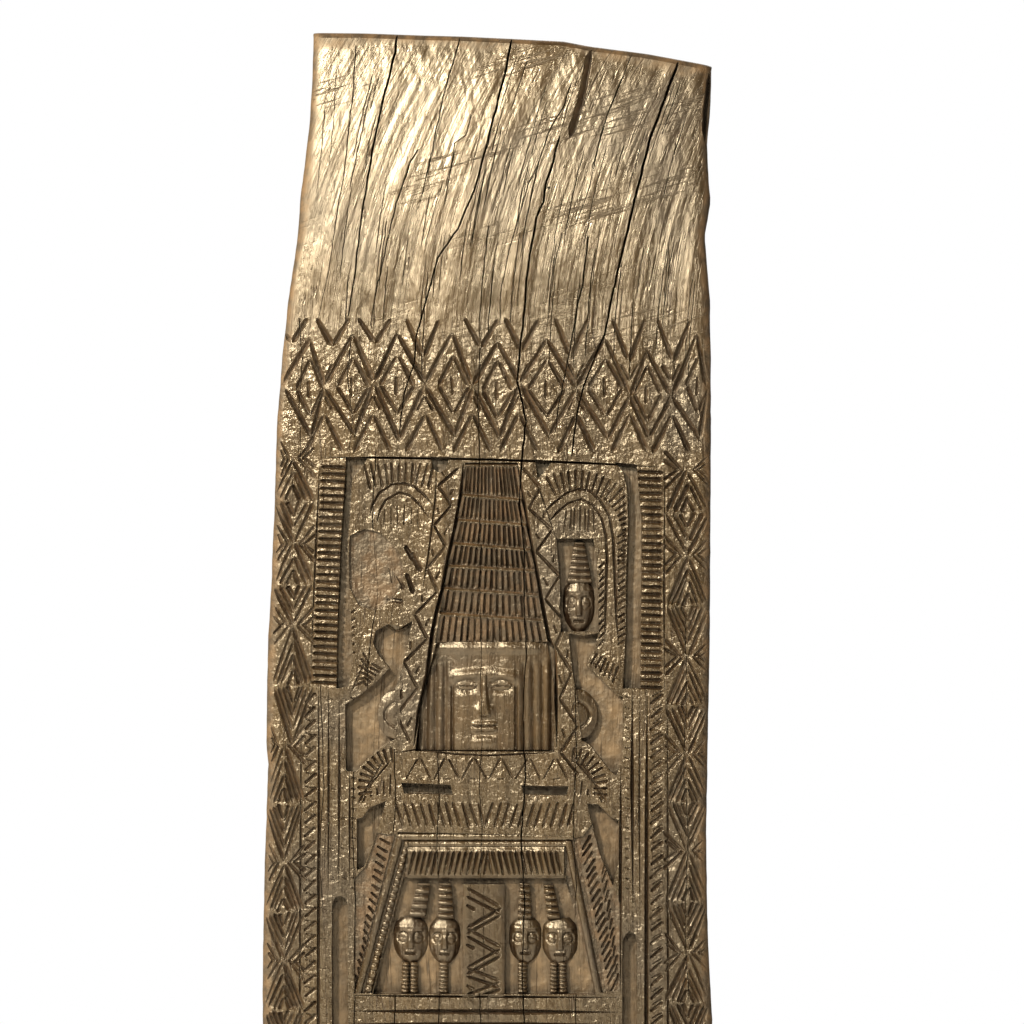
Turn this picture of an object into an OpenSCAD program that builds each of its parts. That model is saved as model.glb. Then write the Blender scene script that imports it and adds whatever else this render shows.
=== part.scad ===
// Tall carved headrest: one hewn hardwood plank, tied across its splits at the back
// Front (carved) face looks along -Y, back along +Y, length along +Z, foot at Z = 0

/* [Plank] */
// Height of the plank
plank_h = 953; // [900:1:980]
// Thickness of the plank over its carved length
plank_t = 42; // [40:1:50]
// How far the head end rolls back from the carved face
head_roll = 11; // [4:1:14]
// Height at which the head end starts to roll back
roll_start = 700; // [660:5:740]

/* [Carved panel] */
// Height of the panel's upper edge
panel_top = 693; // [680:1:700]
// Height of the panel's lower edge
panel_bottom = 150; // [120:5:180]
// Depth of the panel's floor below the face
panel_depth = 9; // [6:0.5:12]
// Number of ribs in each ribbed strip
rib_count = 31; // [20:1:36]
// Depth of the small V cuts
cut_depth = 2; // [1:0.5:3]
// Width of one V cut
cut_w = 2.6; // [1.5:0.1:4]
// Half width of the deep slots in the side posts
slot_r = 4.5; // [3:0.5:5]
// Height at which the side slots end
slot_bottom = 300; // [240:5:340]
// Number of double diamonds across the band under the head end
band_diamonds = 9; // [5:1:11]
// Number of stepped tiers in the tall crown
crown_tiers = 7; // [4:1:9]

/* [Back ties] */
// Width of a batten at its narrow outer face
batten_w = 34; // [26:1:44]
// How much wider the dovetail is at its root, each side
dovetail_flare = 3; // [1:0.5:5]
// Depth of the dovetail housing
housing_depth = 10; // [6:0.5:12]
// How far a batten stands proud of the back
batten_proud = 6; // [4:0.5:8]
// Clearance of the batten in its housing
batten_gap = 0.2; // [0.1:0.05:0.4]
// Height of the lower batten's centre line
lower_batten_z = 70; // [60:5:90]
// Height of the middle batten's centre line
middle_batten_z = 430; // [400:5:460]
// Height of the upper batten's centre line
upper_batten_z = 790; // [760:5:820]
// Radius of a wooden peg
peg_r = 4.4; // [3:0.1:5]
// Radius of the hole that holds a peg
peg_hole_r = 4.5; // [3:0.1:5]
// Depth of a peg in the plank below its housing
peg_bite = 14; // [8:1:18]
// Span of a staple's bar
staple_span = 46; // [30:1:60]
// Width of a staple's bar
staple_w = 5; // [3:0.5:7]
// Thickness of a staple's bar
staple_t = 2.5; // [1.5:0.5:4]
// Length of a staple's legs in the wood
staple_leg = 14; // [8:1:18]
// Radius of the two lashing holes through the foot
lash_r = 7; // [5:0.5:9]
// Distance between the two lashing holes
lash_spacing = 150; // [120:5:180]
// Height of the lashing holes
lash_z = 24; // [20:1:32]

/* [Hidden] */
// the sub-parts, and the one to draw
$fn = 48;

over = 1;
front_y = -(plank_t + batten_proud) / 2;
back_y = front_y + plank_t;
housing_y = back_y - housing_depth;
batten_back_y = back_y + batten_proud;

// the hewn edges, from the top down: [x, z]
left_edge = [[-106, 953], [-106.6, 915], [-109, 886], [-114, 840], [-120, 795], [-124, 755],
             [-127, 705], [-129, 640], [-132, 590], [-133, 540], [-132, 512], [-134, 455],
             [-135.6, 380], [-134.5, 240], [-133, 110], [-131, 0]];
right_edge = [[135.6, 933], [134.6, 905], [132, 887], [134, 851], [131, 830], [134, 790],
              [134, 700], [133, 590], [131, 475], [132, 405], [134.5, 360], [135, 240],
              [134, 110], [132, 0]];
top_edge = [[-106, 953], [-17, 951], [14, 949.5], [61, 945], [96, 940.5], [135.6, 933]];

roll_h = plank_h - roll_start;
roll_r = (roll_h * roll_h + head_roll * head_roll) / (2 * head_roll);

function mid(a, b) = (a + b) / 2;
function reversed(list) = [for (i = [len(list) - 1 : -1 : 0]) list[i]];

// the battens, from the lowest up, run a little way inside the plank's edges
batten_z = [lower_batten_z, middle_batten_z, upper_batten_z];
batten_x = [[-124, 125], [-126, 122], [-110, 122]];
peg_x = [-92, 6, 104];
through = 300;
// a staple's leg is square in section and flush with the bar's end
leg_w = 4;
leg_gap = 0.1;
// each staple as [x, z, angle of its bar]
staple_sites_upper = [[-60, 905, 4], [13, 880, -6], [92, 890, 5]];
staple_sites_lower = [[-26, 610, -3], [34, 560, 4], [18, 250, -4]];

// ---- flat shapes of the relief, drawn in the plane of the face ----

module plank_outline() {
    polygon(concat(top_edge, [for (i = [1 : len(right_edge) - 1]) right_edge[i]],
                   reversed([for (i = [1 : len(left_edge) - 1]) left_edge[i]])));
}

module panel_field() {
    polygon([[-92, panel_top], [88, panel_top - 3], [88, 557], [79, 555], [79, panel_bottom],
             [-79, panel_bottom], [-79, 555], [-92, 557]]);
}

module crown() {
    polygon([[-13, panel_top + over], [16, panel_top + over], [37, 586], [-29, 586]]);
}

module head_block() {
    polygon([[-29, 590], [36, 590], [38, 515], [-43, 515]]);
}

module veil() {
    polygon([[-29, 694], [-18, 694], [-25, 635], [-36, 587], [-46, 551], [-46, 505], [-55, 505],
             [-55, 551], [-48, 587], [-33, 635]]);
    polygon([[22, 694], [30, 694], [41, 647], [47, 593], [51, 557], [55, 539], [55, 505], [44, 505],
             [44, 527], [42, 584], [35, 611]]);
    polygon([[-55, 521], [55, 521], [55, 501], [-55, 501]]);
}

module ears() {
    for (ear = [[-55, 543, -1], [52, 541, 1]])
        intersection() {
            translate([ear[0], ear[1]]) circle(r = 15);
            translate([ear[0] + ear[2] * 8, ear[1]]) square([18, 32], center = true);
        }
}

module left_arch() {
    difference() {
        polygon([[-82, 695], [-32, 695], [-36, 655], [-40, 628], [-54, 594], [-63, 594], [-66, 606],
                 [-78, 606], [-83, 640]]);
        translate([-50, 650]) circle(r = 8);
        translate([-58, 612]) square([16, 38]);
    }
    polygon([[-75, 582], [-59, 570], [-83, 550], [-83, 570]]);
}

module right_arch() {
    difference() {
        polygon([[35, 695], [84, 695], [84, 580], [66, 580], [66, 640], [46, 656]]);
        translate([40, 574]) square([27, 70]);
    }
    small_head(53, 605, 8, 15);
    polygon([[50, 645], [58, 645], [60, 618], [46, 618]]);
    polygon([[59, 572], [64, 582], [84, 573], [79, 552]]);
}

module shoulder_fans() {
    polygon([[-57, 524], [-71, 518], [-81, 509], [-81, 488], [-61, 491], [-52, 502]]);
    polygon([[54, 526], [64, 520], [72, 512], [72, 485], [59, 489], [50, 496]]);
}

module yoke() {
    difference() {
        polygon([[-61, 492], [59, 490], [80, 374], [-84, 374]]);
        polygon([[-46, 465], [46, 463], [65, 374 - over], [-68, 374 - over]]);
    }
    polygon([[-47, 466], [46, 466], [45, 444], [-48, 444]]);
}

// a small head seen from the front: broad brow, narrow chin
module small_head(x, z, half_w, half_h) {
    translate([x, z]) polygon([[-0.7 * half_w, half_h], [0.7 * half_w, half_h],
        [half_w, 0.4 * half_h], [0.85 * half_w, -0.4 * half_h], [0.3 * half_w, -half_h],
        [-0.3 * half_w, -half_h], [-0.85 * half_w, -0.4 * half_h], [-half_w, 0.4 * half_h]]);
}

module pendant(x, tilt) {
    small_head(x, 407, 9, 14);
    translate([x + tilt, 430]) square([8, 22], center = true);
    translate([x, 384]) square([7, 24], center = true);
}

module pendants() {
    pendant(-46, 4);
    pendant(-26, 1);
    pendant(22, 0);
    pendant(43, -3);
    polygon([[-15, 440], [11, 440], [10, 372], [-15, 372]]);
}

module belt() {
    translate([-83, 357]) square([160, 17]);
}

module skirt() {
    polygon([[-66, 352], [62, 352], [70, 214], [-74, 214]]);
    for (x = [-52, 14]) translate([x, 168]) square([36, 42]);
    translate([-76, 155]) square([152, 8]);
}

module relief() {
    crown();
    head_block();
    veil();
    ears();
    left_arch();
    right_arch();
    shoulder_fans();
    yoke();
    pendants();
    belt();
    skirt();
}

// ---- cuts ----

// puts a flat shape on the carved face and sinks it to a depth
module sunk(depth) {
    translate([0, front_y + depth, 0]) rotate([90, 0, 0]) linear_extrude(depth + over) children();
}

// one V cut seen from the front: a needle from a to b
module needle(a, b) {
    along = b - a;
    side = [-along[1], along[0]] / norm(along) * cut_w / 2;
    polygon([a, mid(a, b) + side, b, mid(a, b) - side]);
}

// four needles round a diamond, short of its corners by a share of its size
module diamond(cx, cz, half_w, half_h) {
    gap = 0.12;
    for (sx = [-1, 1], sz = [-1, 1])
        needle([cx + sx * half_w * gap, cz + sz * half_h * (1 - gap)],
               [cx + sx * half_w * (1 - gap), cz + sz * half_h * gap]);
}

module diamond_band() {
    pitch = 29;
    first_x = -110;
    band_z = 740;
    for (i = [0 : band_diamonds - 1]) {
        diamond(first_x + i * pitch, band_z, 12.5, 29);
        diamond(first_x + i * pitch, band_z, 6, 14);
    }
}

module border_diamonds() {
    border_x = 116;
    pitch = 56;
    for (i = [0 : 8]) {
        diamond(-border_x, 660 - i * pitch, 9, 25);
        diamond(border_x, 652 - i * pitch, 10, 25);
    }
}

module side_slots() {
    for (slot = [[-88.5, 430], [86, 408]]) {
        translate([slot[0] - slot_r, slot_bottom]) square([2 * slot_r, slot[1] - slot_bottom]);
        for (z = [slot_bottom, slot[1]]) translate([slot[0], z]) circle(r = slot_r);
    }
}

module ribs() {
    rib_pitch = 4.4;
    notch = [11, 1.6];
    for (i = [0 : rib_count - 1]) {
        translate([-99 - i * 0.2, 560 + i * rib_pitch]) square(notch, center = true);
        translate([96, 558 + i * rib_pitch]) square(notch, center = true);
    }
}

module crown_steps() {
    for (i = [1 : crown_tiers])
        translate([3, 586 + i * 15]) square([66 - i * 5.4, 2], center = true);
}

// ---- the back ----

module dovetail(grow, y_out) {
    flare = dovetail_flare + grow;
    polygon([[housing_y - grow, -batten_w / 2 - flare], [housing_y - grow, batten_w / 2 + flare],
             [back_y, batten_w / 2 + grow], [y_out, batten_w / 2 + grow],
             [y_out, -batten_w / 2 - grow], [back_y, -batten_w / 2 - grow]]);
}

// runs a section drawn in Y and Z along X, from x0 to x1, at height z
module along_x(x0, x1, z) {
    translate([x0, 0, z]) rotate([90, 0, 90]) linear_extrude(x1 - x0) children();
}

module housings() {
    for (z = batten_z) along_x(-through / 2, through / 2, z) dovetail(batten_gap, back_y + over);
}

module batten(i) {
    difference() {
        along_x(batten_x[i][0], batten_x[i][1], batten_z[i]) dovetail(0, batten_back_y);
        peg_holes(i);
    }
}

module peg_holes(i) {
    for (x = peg_x)
        translate([x, housing_y - peg_bite, batten_z[i]])
            rotate([-90, 0, 0]) cylinder(r = peg_hole_r, h = 2 * plank_t);
}

module pegs(i) {
    for (x = peg_x)
        translate([x, housing_y - peg_bite, batten_z[i]])
            rotate([-90, 0, 0]) cylinder(r = peg_r, h = batten_back_y - housing_y + peg_bite);
}

module staple(site, grow) {
    leg = leg_w / 2 + grow;
    translate([site[0], back_y, site[1]]) rotate([0, site[2], 0]) {
        translate([-staple_span / 2, 0, -staple_w / 2]) cube([staple_span, staple_t, staple_w]);
        for (side = [-1, 1])
            translate([side * (staple_span - leg_w) / 2 - leg, -staple_leg - grow, -leg])
                cube([2 * leg, staple_leg + grow + over, 2 * leg]);
    }
}

// ---- sub-parts ----

module plank_blank() {
    intersection() {
        translate([0, back_y + over, 0]) rotate([90, 0, 0]) linear_extrude(plank_t + 2 * over) plank_outline();
        translate([-through / 2, 0, 0]) rotate([90, 0, 90]) linear_extrude(through) plank_profile();
    }
}

// side view of the plank, drawn as Y against Z
module plank_profile() {
    intersection() {
        translate([front_y, 0]) square([plank_t, plank_h + over]);
        union() {
            translate([front_y, 0]) square([plank_t, roll_start]);
            difference() {
                translate([front_y + roll_r, roll_start]) circle(r = roll_r, $fn = 1440);
                translate([back_y, 0]) square([2 * roll_r, 2 * roll_r]);
            }
        }
    }
}

module carved_plank() color("#6d5a43") difference() {
    plank_blank();
    sunk(panel_depth) difference() {
        panel_field();
        relief();
    }
    sunk(cut_depth) diamond_band();
    sunk(cut_depth) border_diamonds();
    sunk(cut_depth) ribs();
    sunk(cut_depth) crown_steps();
    sunk(panel_depth + 2) side_slots();
    housings();
    for (i = [0 : 2]) peg_holes(i);
    for (site = concat(staple_sites_upper, staple_sites_lower)) staple(site, leg_gap);
    for (side = [-1, 1])
        translate([side * lash_spacing / 2, -plank_t, lash_z]) rotate([-90, 0, 0])
            cylinder(r = lash_r, h = 2 * plank_t);
}

module upper_batten() color("#77603f") batten(2);

module middle_batten() color("#77603f") batten(1);

module lower_batten() color("#77603f") batten(0);

module upper_batten_pegs() color("#a1845a") pegs(2);

module middle_batten_pegs() color("#a1845a") pegs(1);

module lower_batten_pegs() color("#a1845a") pegs(0);

module upper_split_staples() color("#3c3836") for (site = staple_sites_upper) staple(site, 0);

module lower_split_staples() color("#3c3836") for (site = staple_sites_lower) staple(site, 0);

carved_plank();
upper_batten();
middle_batten();
lower_batten();
upper_batten_pegs();
middle_batten_pegs();
lower_batten_pegs();
upper_split_staples();
lower_split_staples();
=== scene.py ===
import math
import random

import bmesh
import bpy
from mathutils import Matrix, Vector, noise


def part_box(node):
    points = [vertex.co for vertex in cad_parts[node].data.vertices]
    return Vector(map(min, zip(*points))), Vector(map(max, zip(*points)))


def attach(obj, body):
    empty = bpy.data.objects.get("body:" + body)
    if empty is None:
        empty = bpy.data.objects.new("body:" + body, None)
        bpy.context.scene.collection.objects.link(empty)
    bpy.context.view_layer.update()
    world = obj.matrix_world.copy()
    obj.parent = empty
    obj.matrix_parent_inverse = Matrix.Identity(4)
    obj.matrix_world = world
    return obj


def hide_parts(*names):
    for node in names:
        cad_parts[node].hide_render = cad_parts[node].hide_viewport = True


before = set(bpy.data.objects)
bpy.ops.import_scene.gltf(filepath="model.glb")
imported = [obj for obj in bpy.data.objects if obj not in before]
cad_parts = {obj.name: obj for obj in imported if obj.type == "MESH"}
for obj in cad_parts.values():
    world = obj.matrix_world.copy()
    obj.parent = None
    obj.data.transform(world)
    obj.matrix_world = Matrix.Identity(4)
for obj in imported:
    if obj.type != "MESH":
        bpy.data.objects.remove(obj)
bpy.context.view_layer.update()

# --------
# The board: one plank hewn from a dark hardwood trunk, 953 mm tall and 42 mm thick.
# Its edges follow the split timber, and its head end rolls gently back. All the relief is cut
# from this same wood, so the blank is made first and then carved like the real one.
# --------
MM = 0.001
plank_low, plank_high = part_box("carved_plank")
FRONT = plank_low[1] / MM
BACK = plank_high[1] / MM
ROLL_START = 700
ROLL_RADIUS = 2846
# the face's bulge across the head end: how round, and over which heights it comes in
BULGE_ROUND = 4800
BULGE_START = 680
BULGE_RISE = 160
COLUMNS = 60
ROWS = 210
hand = random.Random(11)

# the hewn edges as (height, x)
LEFT_EDGE = [(0, -131), (110, -133), (240, -134.5), (380, -135.3), (407, -134.9), (455, -134),
             (479, -133), (500, -132.4), (512, -131.8), (524, -133), (560, -132.6), (587, -132),
             (623, -129.8), (640, -129.4), (659, -128.4), (695, -127.3), (719, -126.6),
             (761, -123.6), (797, -119.4), (827, -115.2), (857, -112.8), (893, -108.2),
             (923, -106.3), (954, -105.5)]
RIGHT_EDGE = [(0, 132), (110, 134), (240, 135), (360, 134.6), (405, 132.2), (435, 131.5),
              (472, 131), (527, 132), (587, 133.2), (695, 133.8), (761, 134.3), (791, 133.6),
              (830, 130.9), (838, 132.6), (851, 134.2), (870, 133), (887, 132.3), (905, 134.4),
              (954, 135.5)]
# the top edge as (x, height)
TOP_EDGE = [(-105.6, 952.6), (-75, 952.3), (-40, 951), (-17, 950.4), (14, 949), (46, 947.4),
            (61, 944.5), (96, 940), (120, 935.5), (135.5, 932.6)]


def between(line, t):
    """The value of a bent line, given as (t, value) points, at t."""
    if t <= line[0][0]:
        return line[0][1]
    for (t0, v0), (t1, v1) in zip(line, line[1:]):
        if t <= t1:
            return v0 + (v1 - v0) * (t - t0) / (t1 - t0)
    return line[-1][1]


def ripple(x, z, size, layer):
    """Smooth unevenness from 0 to 1, the same on every run."""
    return 0.5 + 0.5 * noise.noise(Vector((x / size, layer, z / size)))


def roll(z):
    """How far the face has rolled back at a height."""
    return max(z - ROLL_START, 0) ** 2 / (2 * ROLL_RADIUS)


def face_y(x, z):
    """The hewn face before it is carved, without its rounded rim."""
    bulge = x * x / BULGE_ROUND * min(max((z - BULGE_START) / BULGE_RISE, 0), 1)
    return FRONT + 0.1 + roll(z) + bulge + 0.5 * ripple(x, z, 34, 1.7) + 0.18 * ripple(x, z, 9, 4.1)


def spaced(t, start, end, rim):
    """Spreads t from 0 to 1 over start to end, with close rows along both rims."""
    steps = COLUMNS
    row = t * steps
    last = len(rim) - 1
    if row <= last:
        return start + between(list(enumerate(rim)), row)
    if row >= steps - last:
        return end - between(list(enumerate(rim)), steps - row)
    inner = (row - last) / (steps - 2 * last)
    return start + rim[-1] + (end - start - 2 * rim[-1]) * inner


def worn(gap, depth, reach):
    """How far a rounded rim falls back at a distance from the edge."""
    if gap >= reach:
        return 0
    return depth * (1 - math.sqrt(1 - (1 - max(gap, 0) / reach) ** 2))


def only(piece):
    """Makes one object the only selected and active one."""
    bpy.ops.object.select_all(action='DESELECT')
    piece.select_set(True)
    bpy.context.view_layer.objects.active = piece


def extrude(shift):
    """Pushes the whole active sheet on by a shift, leaving the far side selected."""
    bpy.ops.object.mode_set(mode='EDIT')
    bpy.ops.mesh.select_all(action='SELECT')
    bpy.ops.mesh.extrude_region_move(TRANSFORM_OT_translate={"value": shift})
    bpy.ops.object.mode_set(mode='OBJECT')


def face_out():
    """Turns every face of the active piece outward."""
    bpy.ops.object.mode_set(mode='EDIT')
    bpy.ops.mesh.select_all(action='SELECT')
    bpy.ops.mesh.normals_make_consistent(inside=False)
    bpy.ops.object.mode_set(mode='OBJECT')


def prism(ring, shift):
    """A solid from a flat ring of points in mm, pushed on by a shift in metres."""
    bpy.ops.mesh.primitive_circle_add(vertices=len(ring), radius=1, fill_type='NGON')
    piece = bpy.context.object
    for vertex, (x, y, z) in zip(piece.data.vertices, ring):
        vertex.co = (x * MM, y * MM, z * MM)
    extrude(shift)
    face_out()
    return piece


def hew_board():
    bpy.ops.mesh.primitive_grid_add(x_subdivisions=COLUMNS, y_subdivisions=ROWS, size=1)
    board = bpy.context.object
    board.name = "plank_body"
    rim = [0, 0.7, 1.9, 3.8, 6.5]
    for vertex in board.data.vertices:
        u = vertex.co.x + 0.5
        v = vertex.co.y + 0.5
        rough_z = v * 945
        x = spaced(u, between(LEFT_EDGE, rough_z), between(RIGHT_EDGE, rough_z), rim)
        top = between(TOP_EDGE, x)
        z = v * top
        if v > 0.985:
            z = top - between([(0, 0), (1, 0.9), (2, 3.6), (3.15, 14.2)], (1 - v) * ROWS)
        left = between(LEFT_EDGE, z) + 0.5 * ripple(0, z, 7, 2.2)
        right = between(RIGHT_EDGE, z) - 0.5 * ripple(0, z, 7, 8.2)
        x = spaced(u, left, right, rim)
        y = face_y(x, z)
        y += worn(min(x - left, right - x), 4.5, 7) + worn(top - z, 5, 6)
        vertex.co = (x * MM, y * MM, z * MM)
    extrude((0, 0.1, 0))
    for vertex in board.data.vertices:
        if vertex.select:
            x, z = vertex.co.x / MM, vertex.co.z / MM
            gap = min(x - between(LEFT_EDGE, z), between(RIGHT_EDGE, z) - x, between(TOP_EDGE, x) - z)
            y = BACK - 0.1 - 0.7 * ripple(x, z, 26, 6.6) - worn(gap, 3.5, 6)
            vertex.co.y = y * MM
    bpy.ops.object.mode_set(mode='EDIT')
    shape = bmesh.from_edit_mesh(board.data)
    for part in list(shape.verts) + list(shape.edges) + list(shape.faces):
        part.select = False
    for edge in shape.edges:
        edge.select = abs(edge.verts[0].co.y - edge.verts[1].co.y) > 0.02
    bmesh.update_edit_mesh(board.data)
    bpy.ops.mesh.subdivide(number_cuts=7)
    bpy.ops.mesh.select_all(action='SELECT')
    bpy.ops.mesh.normals_make_consistent(inside=False)
    bpy.ops.object.mode_set(mode='OBJECT')
    for vertex in board.data.vertices:
        x, y, z = vertex.co / MM
        if FRONT + 6 < y < BACK - 4 and z > 1:
            middle = 1 - abs((y - FRONT) / (BACK - FRONT) - 0.5)
            push = 0.9 * middle * ripple(y * 1.5, z, 14, 3.3)
            if abs(between(TOP_EDGE, x) - z) < 1.5:
                vertex.co.z -= push * MM
            else:
                vertex.co.x -= math.copysign(push * MM, x)
    return board


plank = hew_board()

# --------
# The carver's tools. A V gouge leaves a cut that is shallow at both ends and deepest between
# them; a knife leaves a long groove; a flat chisel sinks the floors. Each cut below is a copy
# of the gouge's one shape, and cuts that touch are taken out of the wood in separate passes.
# --------
PROUD = 1.6


def gouge_shape():
    bpy.ops.mesh.primitive_circle_add(vertices=6, radius=1, fill_type='NGON')
    tool = bpy.context.object
    plan = [(-0.5, 0), (-0.41, 0.4), (0.38, 0.5), (0.5, 0), (0.38, -0.5), (-0.41, -0.4)]
    for vertex, (x, z) in zip(tool.data.vertices, plan):
        vertex.co = (x, 0, z)
    extrude((0, -1, 0))
    bpy.ops.object.mode_set(mode='EDIT')
    shape = bmesh.from_edit_mesh(tool.data)
    shape.verts.new((-0.37, 0.85, 0))
    shape.verts.new((0.34, 1, 0))
    bmesh.update_edit_mesh(tool.data)
    bpy.ops.mesh.select_all(action='SELECT')
    bpy.ops.mesh.convex_hull()
    bpy.ops.object.mode_set(mode='OBJECT')
    face_out()
    return tool


gouge = gouge_shape()


def closest(a, b, c, d):
    """The distance between two flat segments, near enough for sorting cuts."""
    def point_gap(p, q, r):
        line = r - q
        t = max(0, min(1, (p - q).dot(line) / max(line.length_squared, 1e-9)))
        return (p - q - line * t).length
    turn = (b - a).cross(d - c)
    if abs(turn) > 1e-9:
        s = (c - a).cross(d - c) / turn
        t = (c - a).cross(b - a) / turn
        if 0 <= s <= 1 and 0 <= t <= 1:
            return 0
    return min(point_gap(a, c, d), point_gap(b, c, d), point_gap(c, a, b), point_gap(d, a, b))


def cut(cuts, a, b, width=2.6, depth=2.0, sink=(0, 0), shake=0.5):
    """Adds one gouge cut from a to b, as (x, z) in mm, a little off true as by hand."""
    a = Vector((a[0] + hand.uniform(-shake, shake), a[1] + hand.uniform(-shake, shake)))
    b = Vector((b[0] + hand.uniform(-shake, shake), b[1] + hand.uniform(-shake, shake)))
    width *= hand.uniform(0.85, 1.15)
    cuts.append((a, b, width, depth * hand.uniform(0.85, 1.15), sink))


def passes(cuts):
    """Sorts cuts into passes in which no two touch."""
    sets = []
    for one in cuts:
        a, b, width = one[:3]
        for group in sets:
            for other in group:
                c, d = other[:2]
                gap = (width + other[2]) * 0.55 + 0.3
                if (min(a.x, b.x) - gap > max(c.x, d.x) or max(a.x, b.x) + gap < min(c.x, d.x)
                        or min(a.y, b.y) - gap > max(c.y, d.y) or max(a.y, b.y) + gap < min(c.y, d.y)):
                    continue
                if closest(a, b, c, d) < gap:
                    break
            else:
                group.append(one)
                break
        else:
            sets.append([one])
    return sets


def take_out(piece, cutter, keep=False):
    """Cuts one solid out of a piece and throws the cutter away."""
    only(piece)
    step = piece.modifiers.new("carve", 'BOOLEAN')
    step.operation = 'DIFFERENCE'
    step.solver = 'MANIFOLD'
    step.object = cutter
    bpy.ops.object.modifier_apply(modifier=step.name)
    if not keep:
        bpy.data.objects.remove(cutter)


def solid_from(shape, name):
    """An object from an edited shape."""
    bmesh.ops.recalc_face_normals(shape, faces=shape.faces)
    data = bpy.data.meshes.new(name)
    shape.to_mesh(data)
    shape.free()
    piece = bpy.data.objects.new(name, data)
    bpy.context.collection.objects.link(piece)
    return piece


def carve(piece, cuts, level=face_y):
    """Takes all the gouge cuts out of a piece, a pass at a time."""
    for group in passes(cuts):
        shape = bmesh.new()
        for a, b, width, depth, sink in group:
            middle = (a + b) / 2
            along = b - a
            base = level(middle.x, middle.y) + sum(sink) / 2
            lean = math.atan2(sink[1] - sink[0], along.length)
            turn = math.atan2(along.y, along.x)
            seat = Matrix.Translation((middle.x, base, middle.y))
            seat = seat @ Matrix.Rotation(-turn, 4, 'Y') @ Matrix.Rotation(lean, 4, 'Z')
            scale = Matrix.Diagonal((along.length, depth, width, 1))
            data = gouge.data.copy()
            data.transform(Matrix.Scale(MM, 4) @ seat @ scale)
            shape.from_mesh(data)
            bpy.data.meshes.remove(data)
        take_out(piece, solid_from(shape, "gouge_pass"))


def groove_shape(points, width, depth, level=face_y, ends=0.12, sink=0, skew=0, taper=0):
    """A long knife groove or split along points, as (x, z) in mm."""
    shape = bmesh.new()
    rows = []
    count = len(points)
    for i, (x, z) in enumerate(points):
        before = Vector(points[max(i - 1, 0)])
        after = Vector(points[min(i + 1, count - 1)])
        along = (after - before).normalized()
        side = Vector((-along.y, along.x))
        full = ends if i == count - 1 or (i == 0 and not taper) else 1 - taper * i / count
        half = side * width * 0.5 * full
        y = level(x, z) + sink
        deep = y + depth * (0.25 if i in (0, count - 1) else 1)
        row = [(x - half.x, y - PROUD, z - half.y), (x + half.x, y - PROUD, z + half.y),
               (x + half.x, y, z + half.y), (x + side.x * skew, deep, z + side.y * skew),
               (x - half.x, y, z - half.y)]
        rows.append([shape.verts.new(Vector(p) * MM) for p in row])
    for row, later in zip(rows, rows[1:]):
        for k in range(5):
            shape.faces.new((row[k], row[(k + 1) % 5], later[(k + 1) % 5], later[k]))
    shape.faces.new(rows[0])
    shape.faces.new(rows[-1])
    return solid_from(shape, "groove")


def groove(piece, points, width, depth, **more):
    take_out(piece, groove_shape(points, width, depth, **more))


def sink_floor(piece, outline, depth, wobble=0.35):
    """Chisels a pocket: an outline in mm, sunk to a depth below the face's front plane."""
    high = FRONT - PROUD
    ring = [(x + hand.uniform(-wobble, wobble), high, z + hand.uniform(-wobble, wobble)) for x, z in outline]
    take_out(piece, prism(ring, (0, (FRONT + depth - high) * MM, 0)))


# --------
# The panel's floors: the ground chiselled away between the raised figures, about 9 mm deep
# around the heads and grooves and 2 to 3 mm deep where a hatched field only sits lower.
# --------
DEEP = 9
FLOORS = [
    # grooves inside the two ribbed strips, with their corner pockets
    [(-85, 696.5), (-72, 696), (-76, 690), (-81, 684), (-84, 643), (-82, 604), (-81, 575),
     (-83, 559), (-91, 558), (-90, 600), (-88, 640), (-85.5, 680)],
    [(76, 693.5), (89, 692), (92, 660), (92, 625), (91.5, 590), (91, 558), (80.5, 558),
     (82.5, 590), (82.8, 625), (83.7, 660), (83, 678), (80.5, 688)],
    # pockets along the upper edge
    [(-34, 696.5), (-23, 696.3), (-25, 690), (-29, 687), (-33, 690)],
    [(28, 695), (39, 694.6), (34, 688), (29.5, 684)],
    # ground left of the head, round the cuff and down to the shoulder
    [(-67, 593), (-60, 597), (-52, 595), (-45, 599), (-47, 588), (-52, 570), (-56, 557),
     (-55, 528), (-64, 523), (-71, 517), (-79, 508), (-85, 509), (-85, 549), (-76, 555),
     (-66, 563), (-59, 570), (-66, 579), (-69, 586)],
    # ground right of the head
    [(48, 591), (57, 590), (66, 591), (64, 581), (58.6, 572), (78, 554), (81, 553), (81, 516),
     (77, 506), (73, 509), (66, 518), (61, 525), (56, 527), (53, 556), (50, 570)],
    # niche of the small right-hand head
    [(41, 648), (63.5, 648), (65, 636), (66, 620), (66, 592), (43.5, 592), (43, 620), (42, 640)],
    # slots under the collar
    [(-52, 501.5), (-22, 500.5), (-21, 494.5), (-50, 495)],
    [(20, 500), (48, 499.5), (47, 494), (21, 495)],
    # triangles under the shoulders
    [(-78.7, 480), (-75, 481), (-71, 487), (-61, 491), (-66.4, 472), (-73.4, 452), (-78.7, 449)],
    [(59.5, 489), (66, 489), (74, 481), (78, 480), (78, 455), (75, 440), (67, 459), (62, 477)],
    # ground behind the row of small heads
    [(-50.5, 445), (46.5, 445), (64.5, 375), (-69, 375)],
    # upright slots in the side posts
    [(-93.5, 320), (-84, 320), (-84, 428), (-85.2, 432.5), (-88, 434.5), (-91.5, 433), (-93.5, 428)],
    [(80.6, 320), (89.4, 320), (89.4, 407), (88, 411), (85, 413), (82, 411), (80.6, 407)],
]
for outline in FLOORS:
    sink_floor(plank, outline, DEEP + hand.uniform(-0.6, 0.6))

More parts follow.
